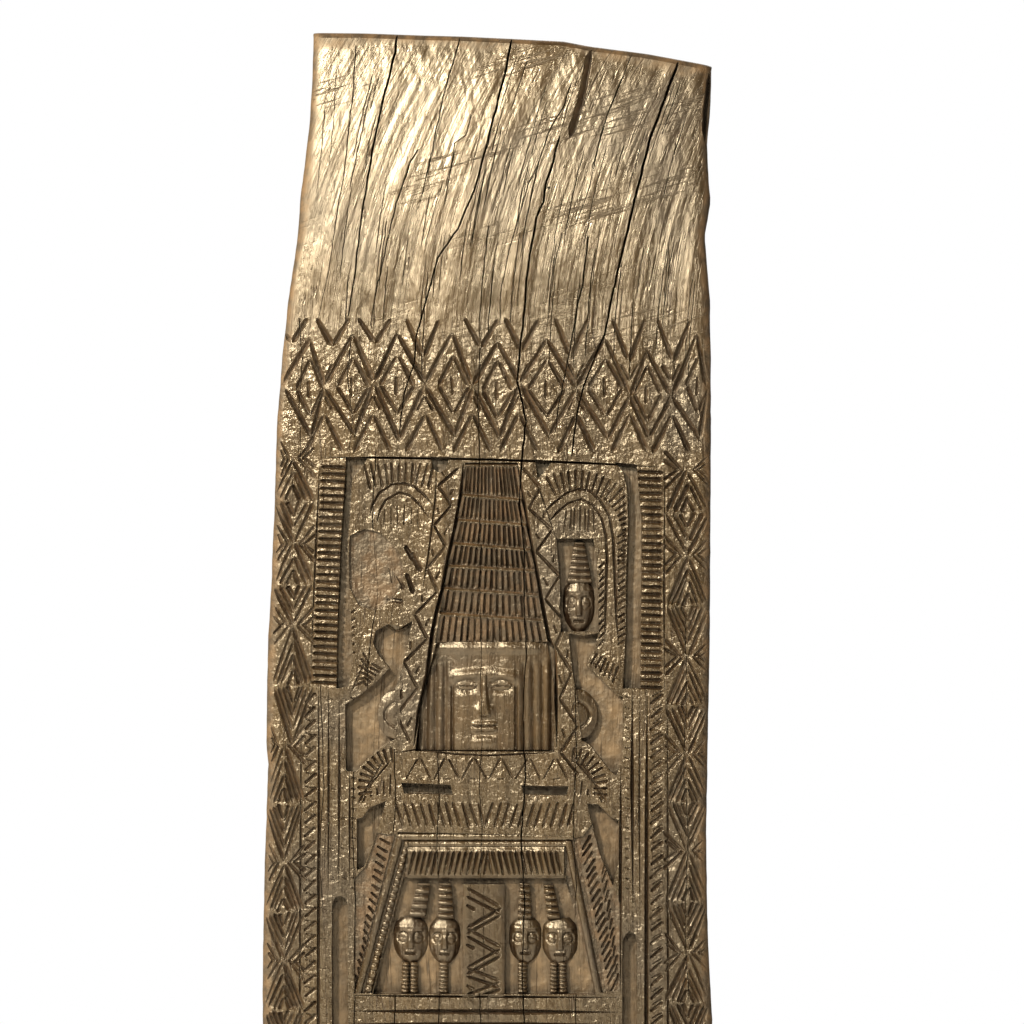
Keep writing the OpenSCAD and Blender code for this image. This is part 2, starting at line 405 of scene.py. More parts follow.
# fields that sit only a little lower than the face
SHALLOW = [
    # bed of the head
    ([(-31, 586), (36, 586), (40, 583), (40, 520.5), (-43.5, 521), (-41, 545), (-35.6, 567)], 9),
    # hatched arms of the yoke, outside the inclined bars
    ([(-60, 471), (-55, 471), (-79.8, 377), (-79.8, 445), (-73, 452), (-66, 472)], 2.2),
    ([(52, 469), (57, 470), (62, 477), (67, 459), (75, 440), (78.5, 430), (78.5, 377), (70, 377)], 2.2),
    # bed of the two inclined bars on the left and of the one on the right
    ([(-56, 470), (-47, 466), (-50.5, 444), (-69.5, 376), (-80.5, 376)], 3.4),
    ([(45.5, 466), (52.5, 469), (71, 376), (63.5, 376), (46.5, 444)], 3.4),
    # bed of the double bar and the fringe
    ([(-54, 472), (51, 470), (46, 444.5), (-50, 444.5)], 4.2),
    # the scar where the left-hand small head broke away
    ([(-82.5, 650), (-74, 654), (-66, 652), (-58, 645), (-53, 640), (-50, 628), (-53, 618), (-59, 609),
      (-68, 605), (-77, 608), (-82.5, 618), (-83.3, 635)], 3.0),
]
for outline, depth in SHALLOW:
    sink_floor(plank, outline, depth)


# --------
# The diamond band under the plain head end: nine nested diamonds with a row of V marks above
# and a row of peaks below, all struck with the V gouge by eye, so no two are quite alike.
# --------
cuts = []
VALLEYS = [(-118, 767), (-93, 765), (-68, 766), (-39, 758), (-4, 764), (20, 762), (50, 758), (84, 756),
           (111, 756)]
CROWNS = [(-107, 767), (-81, 770), (-54.5, 771), (-21, 771), (5.5, 765), (35, 767), (70, 768),
          (95, 761), (125.5, 771)]
CROSSINGS = [(-123, 740), (-98, 739), (-68.5, 741), (-37.5, 740), (-9, 739), (19, 741), (53, 738),
             (85, 733), (110, 733), (131.5, 738)]
for x, z in VALLEYS:
    for start, end in (((x - 10, 780.5), (x - 0.2, z - 1.5)), ((x + 10.5, 780), (x + 0.2, z - 2))):
        cut(cuts, start, end, 3.9, 2.6)
for i, (x, z) in enumerate(CROWNS):
    left, right = CROSSINGS[i], CROSSINGS[i + 1]
    low = (x + 1.5, 708.5 + hand.uniform(-2, 1))
    for start, end in (((x, z), left), ((x, z), right), (low, left), (low, right)):
        start = Vector(start)
        end = Vector(end)
        cut(cuts, start.lerp(end, -0.04), end, 4.0, 2.7)
    heart = Vector((x + 0.5, (z + 708) / 2))
    wide = (right[0] - left[0]) * 0.25
    for sx in (-1, 1):
        for tall in (15, -14):
            cut(cuts, (heart.x, heart.y + tall * 1.2),
                (heart.x + sx * wide * 1.35, heart.y - tall * 0.04), 3.3, 2.2)
    cut(cuts, (heart.x - 1, heart.y + 6), (heart.x - 0.5, heart.y - 6), 2.6, 1.5)
for x, z in CROSSINGS[1:-1]:
    cut(cuts, (x - 0.2, 722.5), (x - 11.5, 699), 3.9, 2.6)
    cut(cuts, (x + 0.2, 722.5), (x + 11, 699), 3.9, 2.6)
    for high, low, wide in ((733.5, 724.5, 5), (742, 753, 5.5)):
        for sx in (-1, 1):
            cut(cuts, (x, high), (x + sx * wide, low), 2.8, 1.8)

# the foot end repeats the band the other way up
for i in range(9):
    x = -108 + 27 * i
    for sx in (-1, 1):
        for tip, foot, wide, width, depth in ((148, 121, 12.5, 3, 2.2), (92, 118, 12.5, 3, 2.2),
                                              (134, 120, 6.5, 2.5, 1.8), (106, 119, 6.5, 2.5, 1.8)):
            cut(cuts, (x, tip), (x + sx * wide, foot), width, depth)

# --------
# The borders: stacks of nested diamonds down both edges, the right-hand ones with heavier
# strokes rising to the right, and a column of small chips beside each from shoulder height on.
# --------
LEFT_TIPS = [696, 645, 596, 524, 454, 395, 336, 276, 216, 160]
RIGHT_TIPS = [689, 638, 577, 519, 461, 400, 340, 280, 220, 160]


def border(tips, middle, half, heavy):
    for high, low in zip(tips, tips[1:]):
        rings = 3 if high - low < 55 else 4
        for ring in range(rings):
            size = 1 - ring / rings * 0.95
            x = middle(high)
            z = (high + low) / 2
            tall = (high - low) / 2 * size
            if ring == rings - 1 and tall < 5:
                continue
            for sx in (-1, 1):
                for sz in (-1, 1):
                    rising = sx * sz < 0
                    width, depth = (3.9, 2.6) if rising == heavy else (2.8, 1.9)
                    tip = Vector((x, z + sz * tall))
                    side = Vector((x + sx * half * size, z))
                    cut(cuts, tip, side, width, depth, shake=0.8)
        for sx in (-1, 1):
            edge_x = between(LEFT_EDGE, high) + 2.5 if x < 0 and sx < 0 else x + sx * (half + 1.5)
            for gap in (5, 11):
                for sz in (1, -1):
                    cut(cuts, (x + sx * gap * 0.5, high - sz), (edge_x, high + sz * (17 - gap)),
                        2.8, 1.9, shake=0.8)


border(LEFT_TIPS, lambda z: -116.5 if z > 590 else -122, 12, False)
border(RIGHT_TIPS, lambda z: 119.8, 13, True)

for i in range(50):
    z = 552 - i * 8
    cut(cuts, (-110, z - 3), (-102.5, z + 3.5), 3, 2)
    cut(cuts, (-109.5, z - 4), (-103, z - 6), 1.6, 1)
    cut(cuts, (97, z - 3.5), (105, z + 3), 3, 2)
    cut(cuts, (98, z + 1), (104.5, z + 4.5), 1.7, 1)

# --------
# The ribbed strips that frame the upper panel, and the fluted side posts under them. Each
# strip is a rail notched across every 4.3 mm; the posts carry cords with beaded notches.
# --------
RIBS = 31
RIB_PITCH = 4.3
for i in range(RIBS):
    z = 691 - i * RIB_PITCH
    x = -92.8 - i * 0.2
    cut(cuts, (x - 7.6, z), (x + 10.5, z - 0.9), 3.1, 2.6, shake=0.25)
    cut(cuts, (88.5, z - 3), (105.4, z - 3.6), 3.1, 2.6, shake=0.25)
for i in range(66):
    z = 553 - i * 6
    heavy = 2.6 if abs(z - 482) < 4 else 1.6
    if i % 3 == 0 or heavy > 2:
        for x in (-98.3, -92, -86) if z > 437 else (-98.3,):
            cut(cuts, (x - 2.2, z), (x + 2.2, z - 1), heavy * 0.8, heavy * 0.35, shake=1)
    if z < 300 or z > 437:
        cut(cuts, (-82, z), (-79, z - 1), 1.5, 1)
        cut(cuts, (82, z), (85, z - 1), 1.3, 0.8)
LONG_LINES = [
    ([(-100.5, 692), (-103, 640), (-106.5, 557)], 1.7, 1.8),
    ([(105.8, 690), (105.5, 620), (105.6, 557)], 1.6, 1.6),
    ([(-111.5, 557), (-112, 480), (-112.5, 380), (-112, 250), (-111.5, 162)], 1.3, 1.4),
    ([(-101.3, 557), (-101, 480), (-101.5, 380), (-101, 250), (-101, 162)], 2.0, 2.2),
    ([(-95.3, 557), (-95.2, 500), (-95.6, 437)], 1.8, 1.8),
    ([(-89, 557), (-88.8, 500), (-89.3, 440)], 1.8, 1.8),
    ([(-82.8, 508), (-82.6, 480), (-82.8, 440)], 1.6, 1.8),
    ([(-79.2, 449), (-79.4, 400), (-79.6, 376)], 1.7, 2.4),
    ([(107.3, 557), (107.6, 480), (107.8, 380), (107.5, 250), (107, 162)], 1.4, 1.5),
    ([(95.3, 557), (95.0, 480), (94.8, 380), (94.8, 250), (95, 162)], 2.6, 3.0),
    ([(86.4, 557), (86.3, 500), (86.8, 430)], 2.6, 3.0), ([(90.8, 557), (90.6, 480), (91, 415)], 1.4, 1.4),
    ([(79.6, 512), (79.4, 470), (79.2, 425), (79.3, 376)], 2.0, 2.6),
    ([(-99, 696.6), (-60, 696.2), (0, 695.2), (60, 693), (104, 690.6)], 1.5, 4.5),
]
for points, width, depth in LONG_LINES:
    groove(plank, points, width, depth)

# --------
# The tall crown: seven tiers, each a lath that stands forward at its upper edge and slopes
# back to the next, hatched with upright cuts. A deep groove parts it from the veil.
# --------
TIERS = [(693, 693, -12.7, 16.3), (675, 672, -14.5, 19.5), (660, 657, -17, 22.3), (646, 642, -19.8, 24.4),
         (632.5, 629.5, -22.6, 27), (619, 615, -25, 29), (604, 600, -27.7, 31), (585.5, 585.5, -30.3, 34)]


def tier_wedge(upper, lower, near, far):
    bpy.ops.mesh.primitive_cube_add(size=2)
    wedge = bpy.context.object
    for vertex in wedge.data.vertices:
        right, behind, above = (value > 0 for value in vertex.co)
        left_z, right_z, left_x, right_x = upper if above else lower
        x = right_x + 1.2 if right else left_x - 1.2
        z = right_z if right else left_z
        y = FRONT + (near if above else far) if behind else FRONT - PROUD
        vertex.co = (x * MM, y * MM, z * MM)
    return wedge


for upper, lower in zip(TIERS, TIERS[1:]):
    lip = (upper[0] - 1.5, upper[1] - 1.5, upper[2], upper[3])
    take_out(plank, tier_wedge((upper[0] + 0.4, upper[1] + 0.4, upper[2], upper[3]), lip, 3.0, 0.5))
    take_out(plank, tier_wedge((lip[0] - 0.3, lip[1] - 0.3, lip[2], lip[3]), lower, 1.6, 4.6))
    count = 12 + int((lower[3] - lower[2]) / 16)
    for i in range(count):
        t = (i + 0.5) / count
        high = (upper[2] + (upper[3] - upper[2]) * t, upper[0] + (upper[1] - upper[0]) * t - 1.6)
        low = (lower[2] + (lower[3] - lower[2]) * t, lower[0] + (lower[1] - lower[0]) * t - 0.9)
        cut(cuts, high, low, 2.2, 2.0, sink=(1.2, 4.2), shake=0.25)
groove(plank, [(-14.6, 694), (-15.6, 678), (-19.5, 655), (-24, 635), (-27, 618), (-31, 603), (-33.5, 590),
               (-36.3, 567), (-41.5, 544), (-44.3, 524)], 2.6, 6)
groove(plank, [(17.6, 693), (20.8, 673), (24.8, 650), (29.2, 628), (33, 606), (36.5, 588), (40, 580),
               (40.8, 555), (41.3, 523)], 2.6, 6)

# --------
# The veil and collar: bands down both sides of the crown and face and across under the chin,
# drawn with zigzag lines that leave rows of triangles.
# --------
VEIL_LEFT = ([(690, -30), (671, -31), (635, -35.5), (600, -45), (580, -50), (551, -55), (524, -56)],
             [(690, -17), (635, -25.5), (603, -32.5), (585, -36), (551, -43), (524, -46)])
VEIL_RIGHT = ([(690, 29), (671, 34), (647, 41), (593, 48), (557, 52), (539, 55), (503, 55.5)],
              [(690, 20), (650, 26.5), (611, 34), (585, 40), (551, 42.5), (503, 43)])


def zigzag(outer, inner, tops, fine):
    outer = sorted(outer)
    inner = sorted(inner)
    for i, (high, low) in enumerate(zip(tops, tops[1:])):
        a, b = (outer, inner) if i % 2 else (inner, outer)
        cut(cuts, (between(a, high + 1), high + 1), (between(b, low - 1), low - 1),
            fine, fine * 0.8, shake=0.4)
        middle = (high + low) / 2
        cut(cuts, (between(b, high - 1.5) * 0.85 + between(a, high) * 0.15, high - 1.5),
            (between(b, middle) * 0.7 + between(a, middle) * 0.3, middle + 0.5),
            fine * 0.8, fine * 0.5, shake=0.4)


zigzag(*VEIL_LEFT, [690, 679, 668, 656, 643, 630, 616, 602, 588, 574, 559, 543, 526], 2.5)
zigzag(*VEIL_RIGHT, [690, 678, 666, 653, 640, 626, 612, 598, 583, 568, 552, 536, 520, 506], 2.5)
groove(plank, [(-30.5, 692), (-31.5, 671), (-34, 650), (-36.5, 632), (-39, 618)], 1.2, 1.6)
groove(plank, [(26, 692), (33, 671), (41.5, 646)], 1.1, 1.4)
groove(plank, [(-56, 519.6), (-43, 521.6), (-20, 519), (0, 518), (20, 519), (41, 520)], 1.3, 1.5)
for i in range(6):
    x = -49 + i * 16.4
    cut(cuts, (x, 503), (x + 7.5, 517), 1.8, 1.3)
    cut(cuts, (x + 8.4, 517), (x + 15.6, 503), 1.8, 1.3)
    cut(cuts, (x + 6, 504), (x + 10.5, 504.2), 1.2, 0.7)

# --------
# The two arch motifs beside the crown: a double arch line with rays cut round it, upright
# hanging strokes inside, and under each a hatched cuff. The left one's small head broke away.
# --------
ARCHES = [[(-71, 661), (-69, 668), (-65, 675), (-58, 680), (-50, 681), (-44, 679), (-38, 674), (-33, 668)],
          [(-66.5, 657), (-64.5, 665), (-61, 671), (-53, 675.5), (-47, 674), (-41, 668.5), (-35, 660)],
          [(32, 661), (38, 668), (47, 675), (54, 677.5), (61, 676.5), (67, 671), (72.5, 662), (75, 648),
           (76, 623), (77, 600), (78.5, 583)],
          [(35, 656), (41, 663), (48, 669), (56, 671.5), (63, 668), (68, 660), (70.5, 650), (71.3, 636),
           (70.5, 610), (70, 584)]]
for points in ARCHES:
    groove(plank, points, 1.8, 1.7)
for i in range(11):
    x = -70 + i * 3.4
    lean = (x + 52) * 0.16
    cut(cuts, (x + lean * 1.6, 694), (x, 681 - abs(x + 52) * 0.25), 2.1, 1.7)
for i in range(6):
    cut(cuts, (-62 + i * 4, 669 - abs(i - 2.5)), (-62.5 + i * 4.2, 655), 1.1, 0.8)
# rays round the right arch stop short of the panel's upper edge and of the ribbed strip
TOP_STOP = 691.5
SIDE_STOP = 83
hub = Vector((53, 648))
for i in range(26):
    angle = math.radians(128 - i * 6.2)
    ray = Vector((math.cos(angle), math.sin(angle)))
    start = hub + ray * 27.5
    end = hub + ray * 42
    if end.x > 33:
        if end.y > TOP_STOP:
            end = start.lerp(end, min(1, (TOP_STOP - start.y) / max(end.y - start.y, 0.1)))
        if end.x > SIDE_STOP:
            end = start.lerp(end, (SIDE_STOP - start.x) / (end.x - start.x))
        cut(cuts, start, end, 2.2, 1.8, shake=0.3)
for i in range(17):
    z = 650 - i * 4
    cut(cuts, (77.5, z - 1.6), (82.5, z + 1.6), 2, 1.6, shake=0.3)
for i in range(12):
    z = 632 - i * 4.2
    cut(cuts, (66.3, z - 2), (69.8, z + 2), 1.9, 1.6, shake=0.3)
for i in range(7):
    cut(cuts, (47 + i * 2.7, 668 - abs(i - 3) * 0.8), (46 + i * 3, 651), 1.5, 1.2)
for i in range(6):
    cut(cuts, (-83.4, 602 - i * 5), (-79, 605.5 - i * 5), 1.9, 1.5)
# the hatched cuffs
for i in range(6):
    t = i / 6
    cut(cuts, (-75 - t * 6, 580 - t * 24), (-71 - t * 2, 572 - t * 11), 2, 1.6)
    cut(cuts, (-62 - t * 12, 569 - t * 11), (-70 - t * 6, 573.5 - t * 13), 2, 1.6)
    cut(cuts, (62 + t * 15, 573 - t * 15), (66 + t * 14.5, 580 - t * 9), 2, 1.7)
cut(cuts, (-72, 577), (-82, 556), 1.5, 1.2)
cut(cuts, (61.5, 574.5), (79, 563), 1.6, 1.3)
for a, b in (((-50, 644), (-44, 634)), ((-46, 640), (-40, 628)), ((-55, 626), (-50, 617)),
             ((-49, 627), (-44, 615)), ((-60, 632), (-57, 620)), ((-62, 612), (-50, 610))):
    cut(cuts, a, b, 3.4, 3, sink=(0.6, 0.6))

# --------
# Shoulders, yoke and hatched arms: a fan of rays on each shoulder, a slanted row across the
# chest that changes direction at the middle, and long hatched arms down to the belt.
# --------
for sign, hub_x, first, last in ((-1, -55, 98, 190), (1, 49, 82, -12)):
    for i in range(10):
        angle = math.radians(first + (last - first) * i / 9)
        ray = Vector((math.cos(angle), math.sin(angle) * 1.05))
        hub = Vector((hub_x, 499))
        cut(cuts, hub + ray * 14, hub + ray * 23.5, 2.2, 1.8, shake=0.3)
    for gap in (0, 5):
        cut(cuts, (hub_x + sign * (2 + gap), 517 - gap * 0.3),
            (hub_x + sign * (22 + gap * 0.2), 493 - gap), 1.8, 1.5)
    for i in range(5):
        cut(cuts, (hub_x + sign * (3 + i * 4.2), 508 - i * 4.6),
            (hub_x + sign * (3.5 + i * 3.6), 494), 1.6, 1.3)
for i in range(22):
    x = -53 + i * 4.9
    slant = 4.2 if x < -2 else -4.2
    cut(cuts, (x - slant * 0.5, 490.5), (x + slant * 0.6, 474.5), 2.5, 1.8)
for i in range(20):
    t = i / 19
    z = 466 - t * 86
    cut(cuts, (-65.5 - t * 14, z + 2.5), (-58 - t * 20.5, z - 2), 2, 1.5, sink=(2, 2))
    cut(cuts, (56 + t * 17, z - 4.5), (61.5 + t * 16, z + 4.5), 2.3, 1.7, sink=(2, 2))
    if i > 6:
        cut(cuts, (63 + t * 14, z + 20 - t * 20), (66 + t * 12.5, z + 28 - t * 20), 1.8, 1.3, sink=(2, 2))

# --------
# The belt, and below it the part that stands behind the seat: a skirt hatched in rows, two
# feet and a lattice rail, struck in the same hand as the borders above.
# --------
BELT_LINES = [([(-82, 374.6), (-40, 374), (20, 373.6), (79, 373.4)], 1.6, 3),
              ([(-82, 365.2), (-30, 364.8), (30, 364.6), (78, 364.6)], 3.4, 3.2),
              ([(-82, 357.6), (-30, 357.2), (30, 357), (78, 357.2)], 3, 3),
              ([(-79, 346), (0, 345.5), (79, 346)], 1.8, 2)]
for points, width, depth in BELT_LINES:
    groove(plank, points, width, depth)
for outline in ([(-79, 336), (-66, 336), (-58, 214), (-58, 172), (-79, 172)],
                [(66, 336), (79, 336), (79, 172), (58, 172), (58, 214)],
                [(-7, 210), (7, 210), (8, 172), (-8, 172)]):
    sink_floor(plank, outline, DEEP)
for row in range(6):
    z = 336 - row * 20.5
    half = 64 - row * 1.4
    groove(plank, [(-half, z), (0, z - 0.6), (half, z)], 1.8, 1.8)
    for i in range(22):
        x = -half + 4 + i * (2 * half - 8) / 21
        slant = 2.6 if (row + (x > 0)) % 2 else -2.6
        cut(cuts, (x - slant, z - 3), (x + slant, z - 17.5), 2.1, 1.7)
for i in range(8):
    for x in (-33, 33):
        cut(cuts, (x - 22, 206 - i * 4.4), (x + 22, 205.6 - i * 4.4), 2.2, 1.8)
for i in range(19):
    x = -76 + i * 8.2
    cut(cuts, (x, 166), (x + 6, 156), 2, 1.5)
    cut(cuts, (x + 6.6, 166), (x + 1, 156), 1.6, 1.2)

carve(plank, cuts)

# --------
# The splits: drying checks that run with the grain from the head end down through the carving.
# They lean to the right towards the top, where the grain turns, and are widest at the end.
# --------
SPLITS = [
    ([(-54.5, 952), (-55.5, 940), (-58, 931), (-63, 911), (-69.5, 880), (-74, 852), (-77, 831), (-79, 812),
      (-83.5, 781)], 2.1, 11),
    ([(-16.6, 950), (-21, 933), (-26.5, 914), (-32, 888), (-37, 865), (-40.5, 850)], 1.3, 8),
    ([(14.2, 949), (11, 930), (6, 911), (0, 885), (-8, 857), (-17.5, 834), (-30, 816), (-37, 790), (-43, 769),
      (-44.5, 751), (-50, 735), (-53, 710)], 2.0, 12),
    ([(-42, 881), (-47, 873), (-50, 863), (-55, 849), (-59, 831), (-63, 813), (-67, 795),
      (-70.5, 775)], 1.3, 8),
    ([(-10, 902), (-13, 890), (-20, 885), (-22, 871), (-27, 853)], 0.9, 6),
    ([(-79.5, 944), (-80.5, 920), (-83.5, 893), (-86, 869), (-90, 846), (-92, 831), (-95, 811), (-99, 792),
      (-102, 778)], 0.9, 6),
    ([(-91, 930), (-92.5, 900), (-95, 872)], 0.6, 4), ([(-98, 905), (-100, 880), (-103, 855)], 0.6, 4),
    ([(50, 921), (46, 908), (41, 900), (36, 890), (30, 872), (24, 860), (17, 835), (12, 817), (7.5, 794),
      (7, 776)], 1.1, 8),
    ([(43, 889), (40, 878), (38, 870), (35, 862), (33.5, 850), (29, 840), (26, 823), (23, 803), (22, 785),
      (19.5, 765), (17.5, 742), (21, 728), (23, 718), (21, 703), (20, 690), (19, 668), (22, 640), (21.5, 610),
      (23, 580), (21, 540), (22.5, 505), (20, 470), (22, 430), (20.5, 390), (22, 350), (20.5, 300)], 1.9, 11),
    ([(114.5, 935), (111, 925), (107, 914), (102, 900), (97, 887), (92, 866), (85, 838), (77, 805), (70, 770),
      (63, 754), (57, 738), (54, 726), (50, 697)], 2.6, 9),
    ([(81, 925), (74, 908), (68, 891), (61, 859), (56, 845), (52, 834)], 1.0, 6),
    ([(44.5, 831), (40, 812), (38, 796), (35, 770)], 0.8, 6),
    ([(60, 829), (58.5, 815), (57, 801), (53, 784), (50, 766), (43, 731), (40, 711)], 1.5, 8),
    ([(109.5, 831), (107, 810), (106, 791), (104, 770)], 0.7, 5),
    ([(0.5, 835), (-3, 805), (-5, 780), (-4.5, 765)], 1.0, 5),
    ([(-4.5, 762), (-6, 730), (-5, 700), (-5.5, 668), (-4, 640), (-5, 610), (-3.5, 588), (-4.5, 560),
      (-3.5, 530), (-5, 500), (-3.5, 470), (-4.5, 440)], 0.9, 6),
    ([(28, 835), (24, 812), (22.5, 800)], 0.6, 4),
    ([(-27, 862), (-34, 838), (-38, 822)], 0.6, 4),
    ([(-113, 780), (-111, 755), (-113, 730), (-112, 700), (-114, 660)], 0.7, 4),
    ([(-82, 770), (-84, 745), (-81, 718), (-83, 700)], 0.8, 5),
    ([(-67, 700), (-69, 660), (-66, 615), (-72, 570), (-71, 530)], 0.8, 4),
    ([(118, 600), (119, 560), (117, 510), (120, 470), (118, 420), (120, 372)], 0.7, 4),
    ([(-100, 560), (-98, 500), (-101, 460), (-99, 430)], 0.6, 4),
    ([(-80, 520), (-81, 470), (-79, 420)], 0.7, 4),
    ([(-56, 522), (-55, 490), (-56.5, 470)], 0.8, 5),
    ([(52, 560), (53, 520), (51, 480), (53, 440), (52, 400), (53, 350), (52, 300)], 0.8, 5),
    ([(-30, 520), (-29, 495), (-30.5, 460), (-29, 440)], 0.7, 5),
    ([(-55.5, 376), (-56, 360), (-55, 330)], 0.9, 6), ([(-29, 376), (-29.5, 355), (-28.5, 325)], 0.9, 6),
    ([(-5, 376), (-4, 350), (-5, 315)], 0.9, 6), ([(-79.5, 374), (-80, 350), (-79, 320)], 0.8, 5),
]


def split_points(points):
    """Adds small kinks between the points of a split, as torn grain has."""
    line = [points[0]]
    for a, b in zip(points, points[1:]):
        pieces = max(2, int(math.dist(a, b) / 5))
        for k in range(1, pieces + 1):
            t = k / pieces
            wander = hand.uniform(-0.35, 0.35) if k < pieces else 0
            line.append((a[0] + (b[0] - a[0]) * t + wander, a[1] + (b[1] - a[1]) * t))
    return line


splits = []
# fine checks lean more and more from this height to the head end
LEAN_START = 740
for points, width, depth in SPLITS:
    taper = 0.5 if points[0][1] > 700 else 0.1
    splits.append(groove_shape(split_points(points), width * 0.7, depth, ends=0.3, taper=taper))
for i in range(70):
    x, z = hand.uniform(-108, 128), hand.uniform(790, 945)
    long = hand.uniform(22, 70)
    line = []
    for k in range(4):
        level_z = z - long * k / 3
        lean = 1.1 * (max(level_z - LEAN_START, 0) ** 2 - max(z - LEAN_START, 0) ** 2) / 1000
        lean *= 0.6 + 0.4 * (x + 110) / 240
        line.append((x + lean, level_z))
    foot_x, foot_z = line[3]
    if between(LEFT_EDGE, z) + 6 < x < between(RIGHT_EDGE, z) - 6 and foot_x > between(LEFT_EDGE, foot_z) + 5:
        line = split_points(line)
        splits.append(groove_shape(line, hand.uniform(0.3, 0.6), hand.uniform(1.5, 4), ends=0.2))
# a wide shallow sliver torn away beside the middle split, and the chip out of the right edge
sliver = split_points([(62, 944), (59.5, 930), (55, 908), (49, 888)])
splits.append(groove_shape(sliver, 4.6, 3.6, skew=1.4))
chip = split_points([(133.0, 929), (132.3, 915), (130.8, 900), (130.6, 886)])
splits.append(groove_shape(chip, 4.2, 9, ends=0.5))


def joined_apart(cutters):
    """Joins cutters whose boxes stay apart, so that one pass takes out many of them."""
    sets = []
    for cutter in cutters:
        xs = [v.co.x for v in cutter.data.vertices]
        zs = [v.co.z for v in cutter.data.vertices]
        box = (min(xs) - MM, max(xs) + MM, min(zs) - MM, max(zs) + MM)
        for boxes, members in sets:
            if all(box[1] < b[0] or box[0] > b[1] or box[3] < b[2] or box[2] > b[3] for b in boxes):
                boxes.append(box)
                members.append(cutter)
                break
        else:
            sets.append(([box], [cutter]))
    made = []
    for boxes, members in sets:
        shape = bmesh.new()
        for cutter in members:
            shape.from_mesh(cutter.data)
            bpy.data.objects.remove(cutter)
        made.append(solid_from(shape, "split_pass"))
    return made


splits = joined_apart(splits)
for split in splits:
    take_out(plank, split, keep=True)

# a small knot hole on the middle split, and the square-ended housings and bores of the back
bpy.ops.mesh.primitive_cone_add(vertices=9, radius1=2.3 * MM, radius2=0.6 * MM, depth=8 * MM,
                                rotation=(-math.pi / 2, 0, 0),
                                location=(36.5 * MM, (FRONT + 3) * MM, 858 * MM))
bpy.ops.object.transform_apply(location=True, rotation=True, scale=True)
take_out(plank, bpy.context.object)
BATTENS = ("lower_batten", "middle_batten", "upper_batten")
for name in BATTENS:
    low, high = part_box(name)
    mid_z = (low[2] + high[2]) / 2 / MM
    bed = low[1] / MM - 0.2
    dovetail = [(bed, -20.3), (bed, 20.3), (BACK, 17.4), (BACK + 2, 17), (BACK + 2, -17), (BACK, -17.4)]
    take_out(plank, prism([(-150, y, mid_z + z) for y, z in dovetail], (0.3, 0, 0)))
for side in (-1, 1):
    bpy.ops.mesh.primitive_cylinder_add(vertices=40, radius=7 * MM, depth=0.08, rotation=(math.pi / 2, 0, 0),
                                        location=(side * 75 * MM, 0, 24 * MM))
    bpy.ops.object.transform_apply(location=True, rotation=True, scale=True)
    take_out(plank, bpy.context.object)


def lofted(name, rows):
    """A closed solid through rows of points in mm, each row a closed ring."""
    shape = bmesh.new()
    rings = [[shape.verts.new(Vector(point) * MM) for point in row] for row in rows]
    count = len(rows[0])
    for near, far in zip(rings, rings[1:]):
        for k in range(count):
            shape.faces.new((near[k], near[(k + 1) % count], far[(k + 1) % count], far[k]))
    shape.faces.new(rings[0])
    shape.faces.new(rings[-1])
    return solid_from(shape, name)


def round_row(x, y, z, radius, sides, whittled=0.0, layer=0.0):
    row = []
    for k in range(sides):
        angle = 2 * math.pi * k / sides
        r = radius * (1 - whittled * ripple(k * 3.1, y, 9, layer))
        row.append((x + r * math.cos(angle), y, z + r * math.sin(angle)))
    return row


def turned(site, point):
    """Puts a point of a staple, drawn flat, on its site: x, z and the angle of its bar."""
    x, y, z = point
    angle = math.radians(site[2])
    return (site[0] + x * math.cos(angle) + z * math.sin(angle), y,
            site[1] - x * math.sin(angle) + z * math.cos(angle))


# splits that show at the back under the staples and between the battens
back_splits = []
for x, high, low, lean in ((-60, 948, 838, 5), (13, 949, 826, 7), (92, 938, 836, 8), (-26, 760, 470, 3),
                           (34, 690, 500, -2), (18, 390, 130, 3), (-82, 742, 640, 2), (70, 380, 300, 1)):
    rows = []
    for i in range(19):
        z = low + (high - low) * i / 18
        middle = x + lean * (z - (low + high) / 2) / 60 + hand.uniform(-0.5, 0.5)
        half = 0.9 * math.sin(math.pi * (0.08 + 0.84 * i / 18)) + 0.15
        rows.append([(middle - half, 19, z), (middle + half, 19, z), (middle + 0.1, 17 - 7 * half, z)])
    back_splits.append(lofted("back_split", rows))
for split in joined_apart(back_splits):
    take_out(plank, split)

# nine peg bores go through the battens into the plank, and each staple leg has its slot
PEG_PLACES = []
for name in BATTENS:
    low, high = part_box(name)
    PEG_PLACES += [(x, (low[2] + high[2]) / 2 / MM, name) for x in (-92, 6, 104)]
STAPLE_SITES = {"upper_split_staples": [(-60, 905, 4), (13, 880, -6), (92, 890, 5)],
                "lower_split_staples": [(-26, 610, -3), (34, 560, 4), (18, 250, -4)]}
bores = [lofted("bore", [round_row(x, y, z, 4.5, 36) for y in (-6, 30)]) for x, z, name in PEG_PLACES]
for site in [site for sites in STAPLE_SITES.values() for site in sites]:
    for side in (-21, 21):
        square = [(-2.1, -2.1), (2.1, -2.1), (2.1, 2.1), (-2.1, 2.1)]
        bores.append(lofted("slot", [[turned(site, (side + a, y, b)) for a, b in square] for y in (3.9, 19)]))
only(bores[0])
for bore in bores:
    bore.select_set(True)
bpy.ops.object.join()
bores = bpy.context.object
take_out(plank, bores, keep=True)

# --------
# The raised forms that are rounded rather than flat: the face, the small hanging heads with
# their tall hats and cords, the ears, the inclined bars, the double bar, the fringe and the
# plaque. They are cut from the same plank, so they are bedded in it and share its splits.
# --------
plank_pieces = [plank]


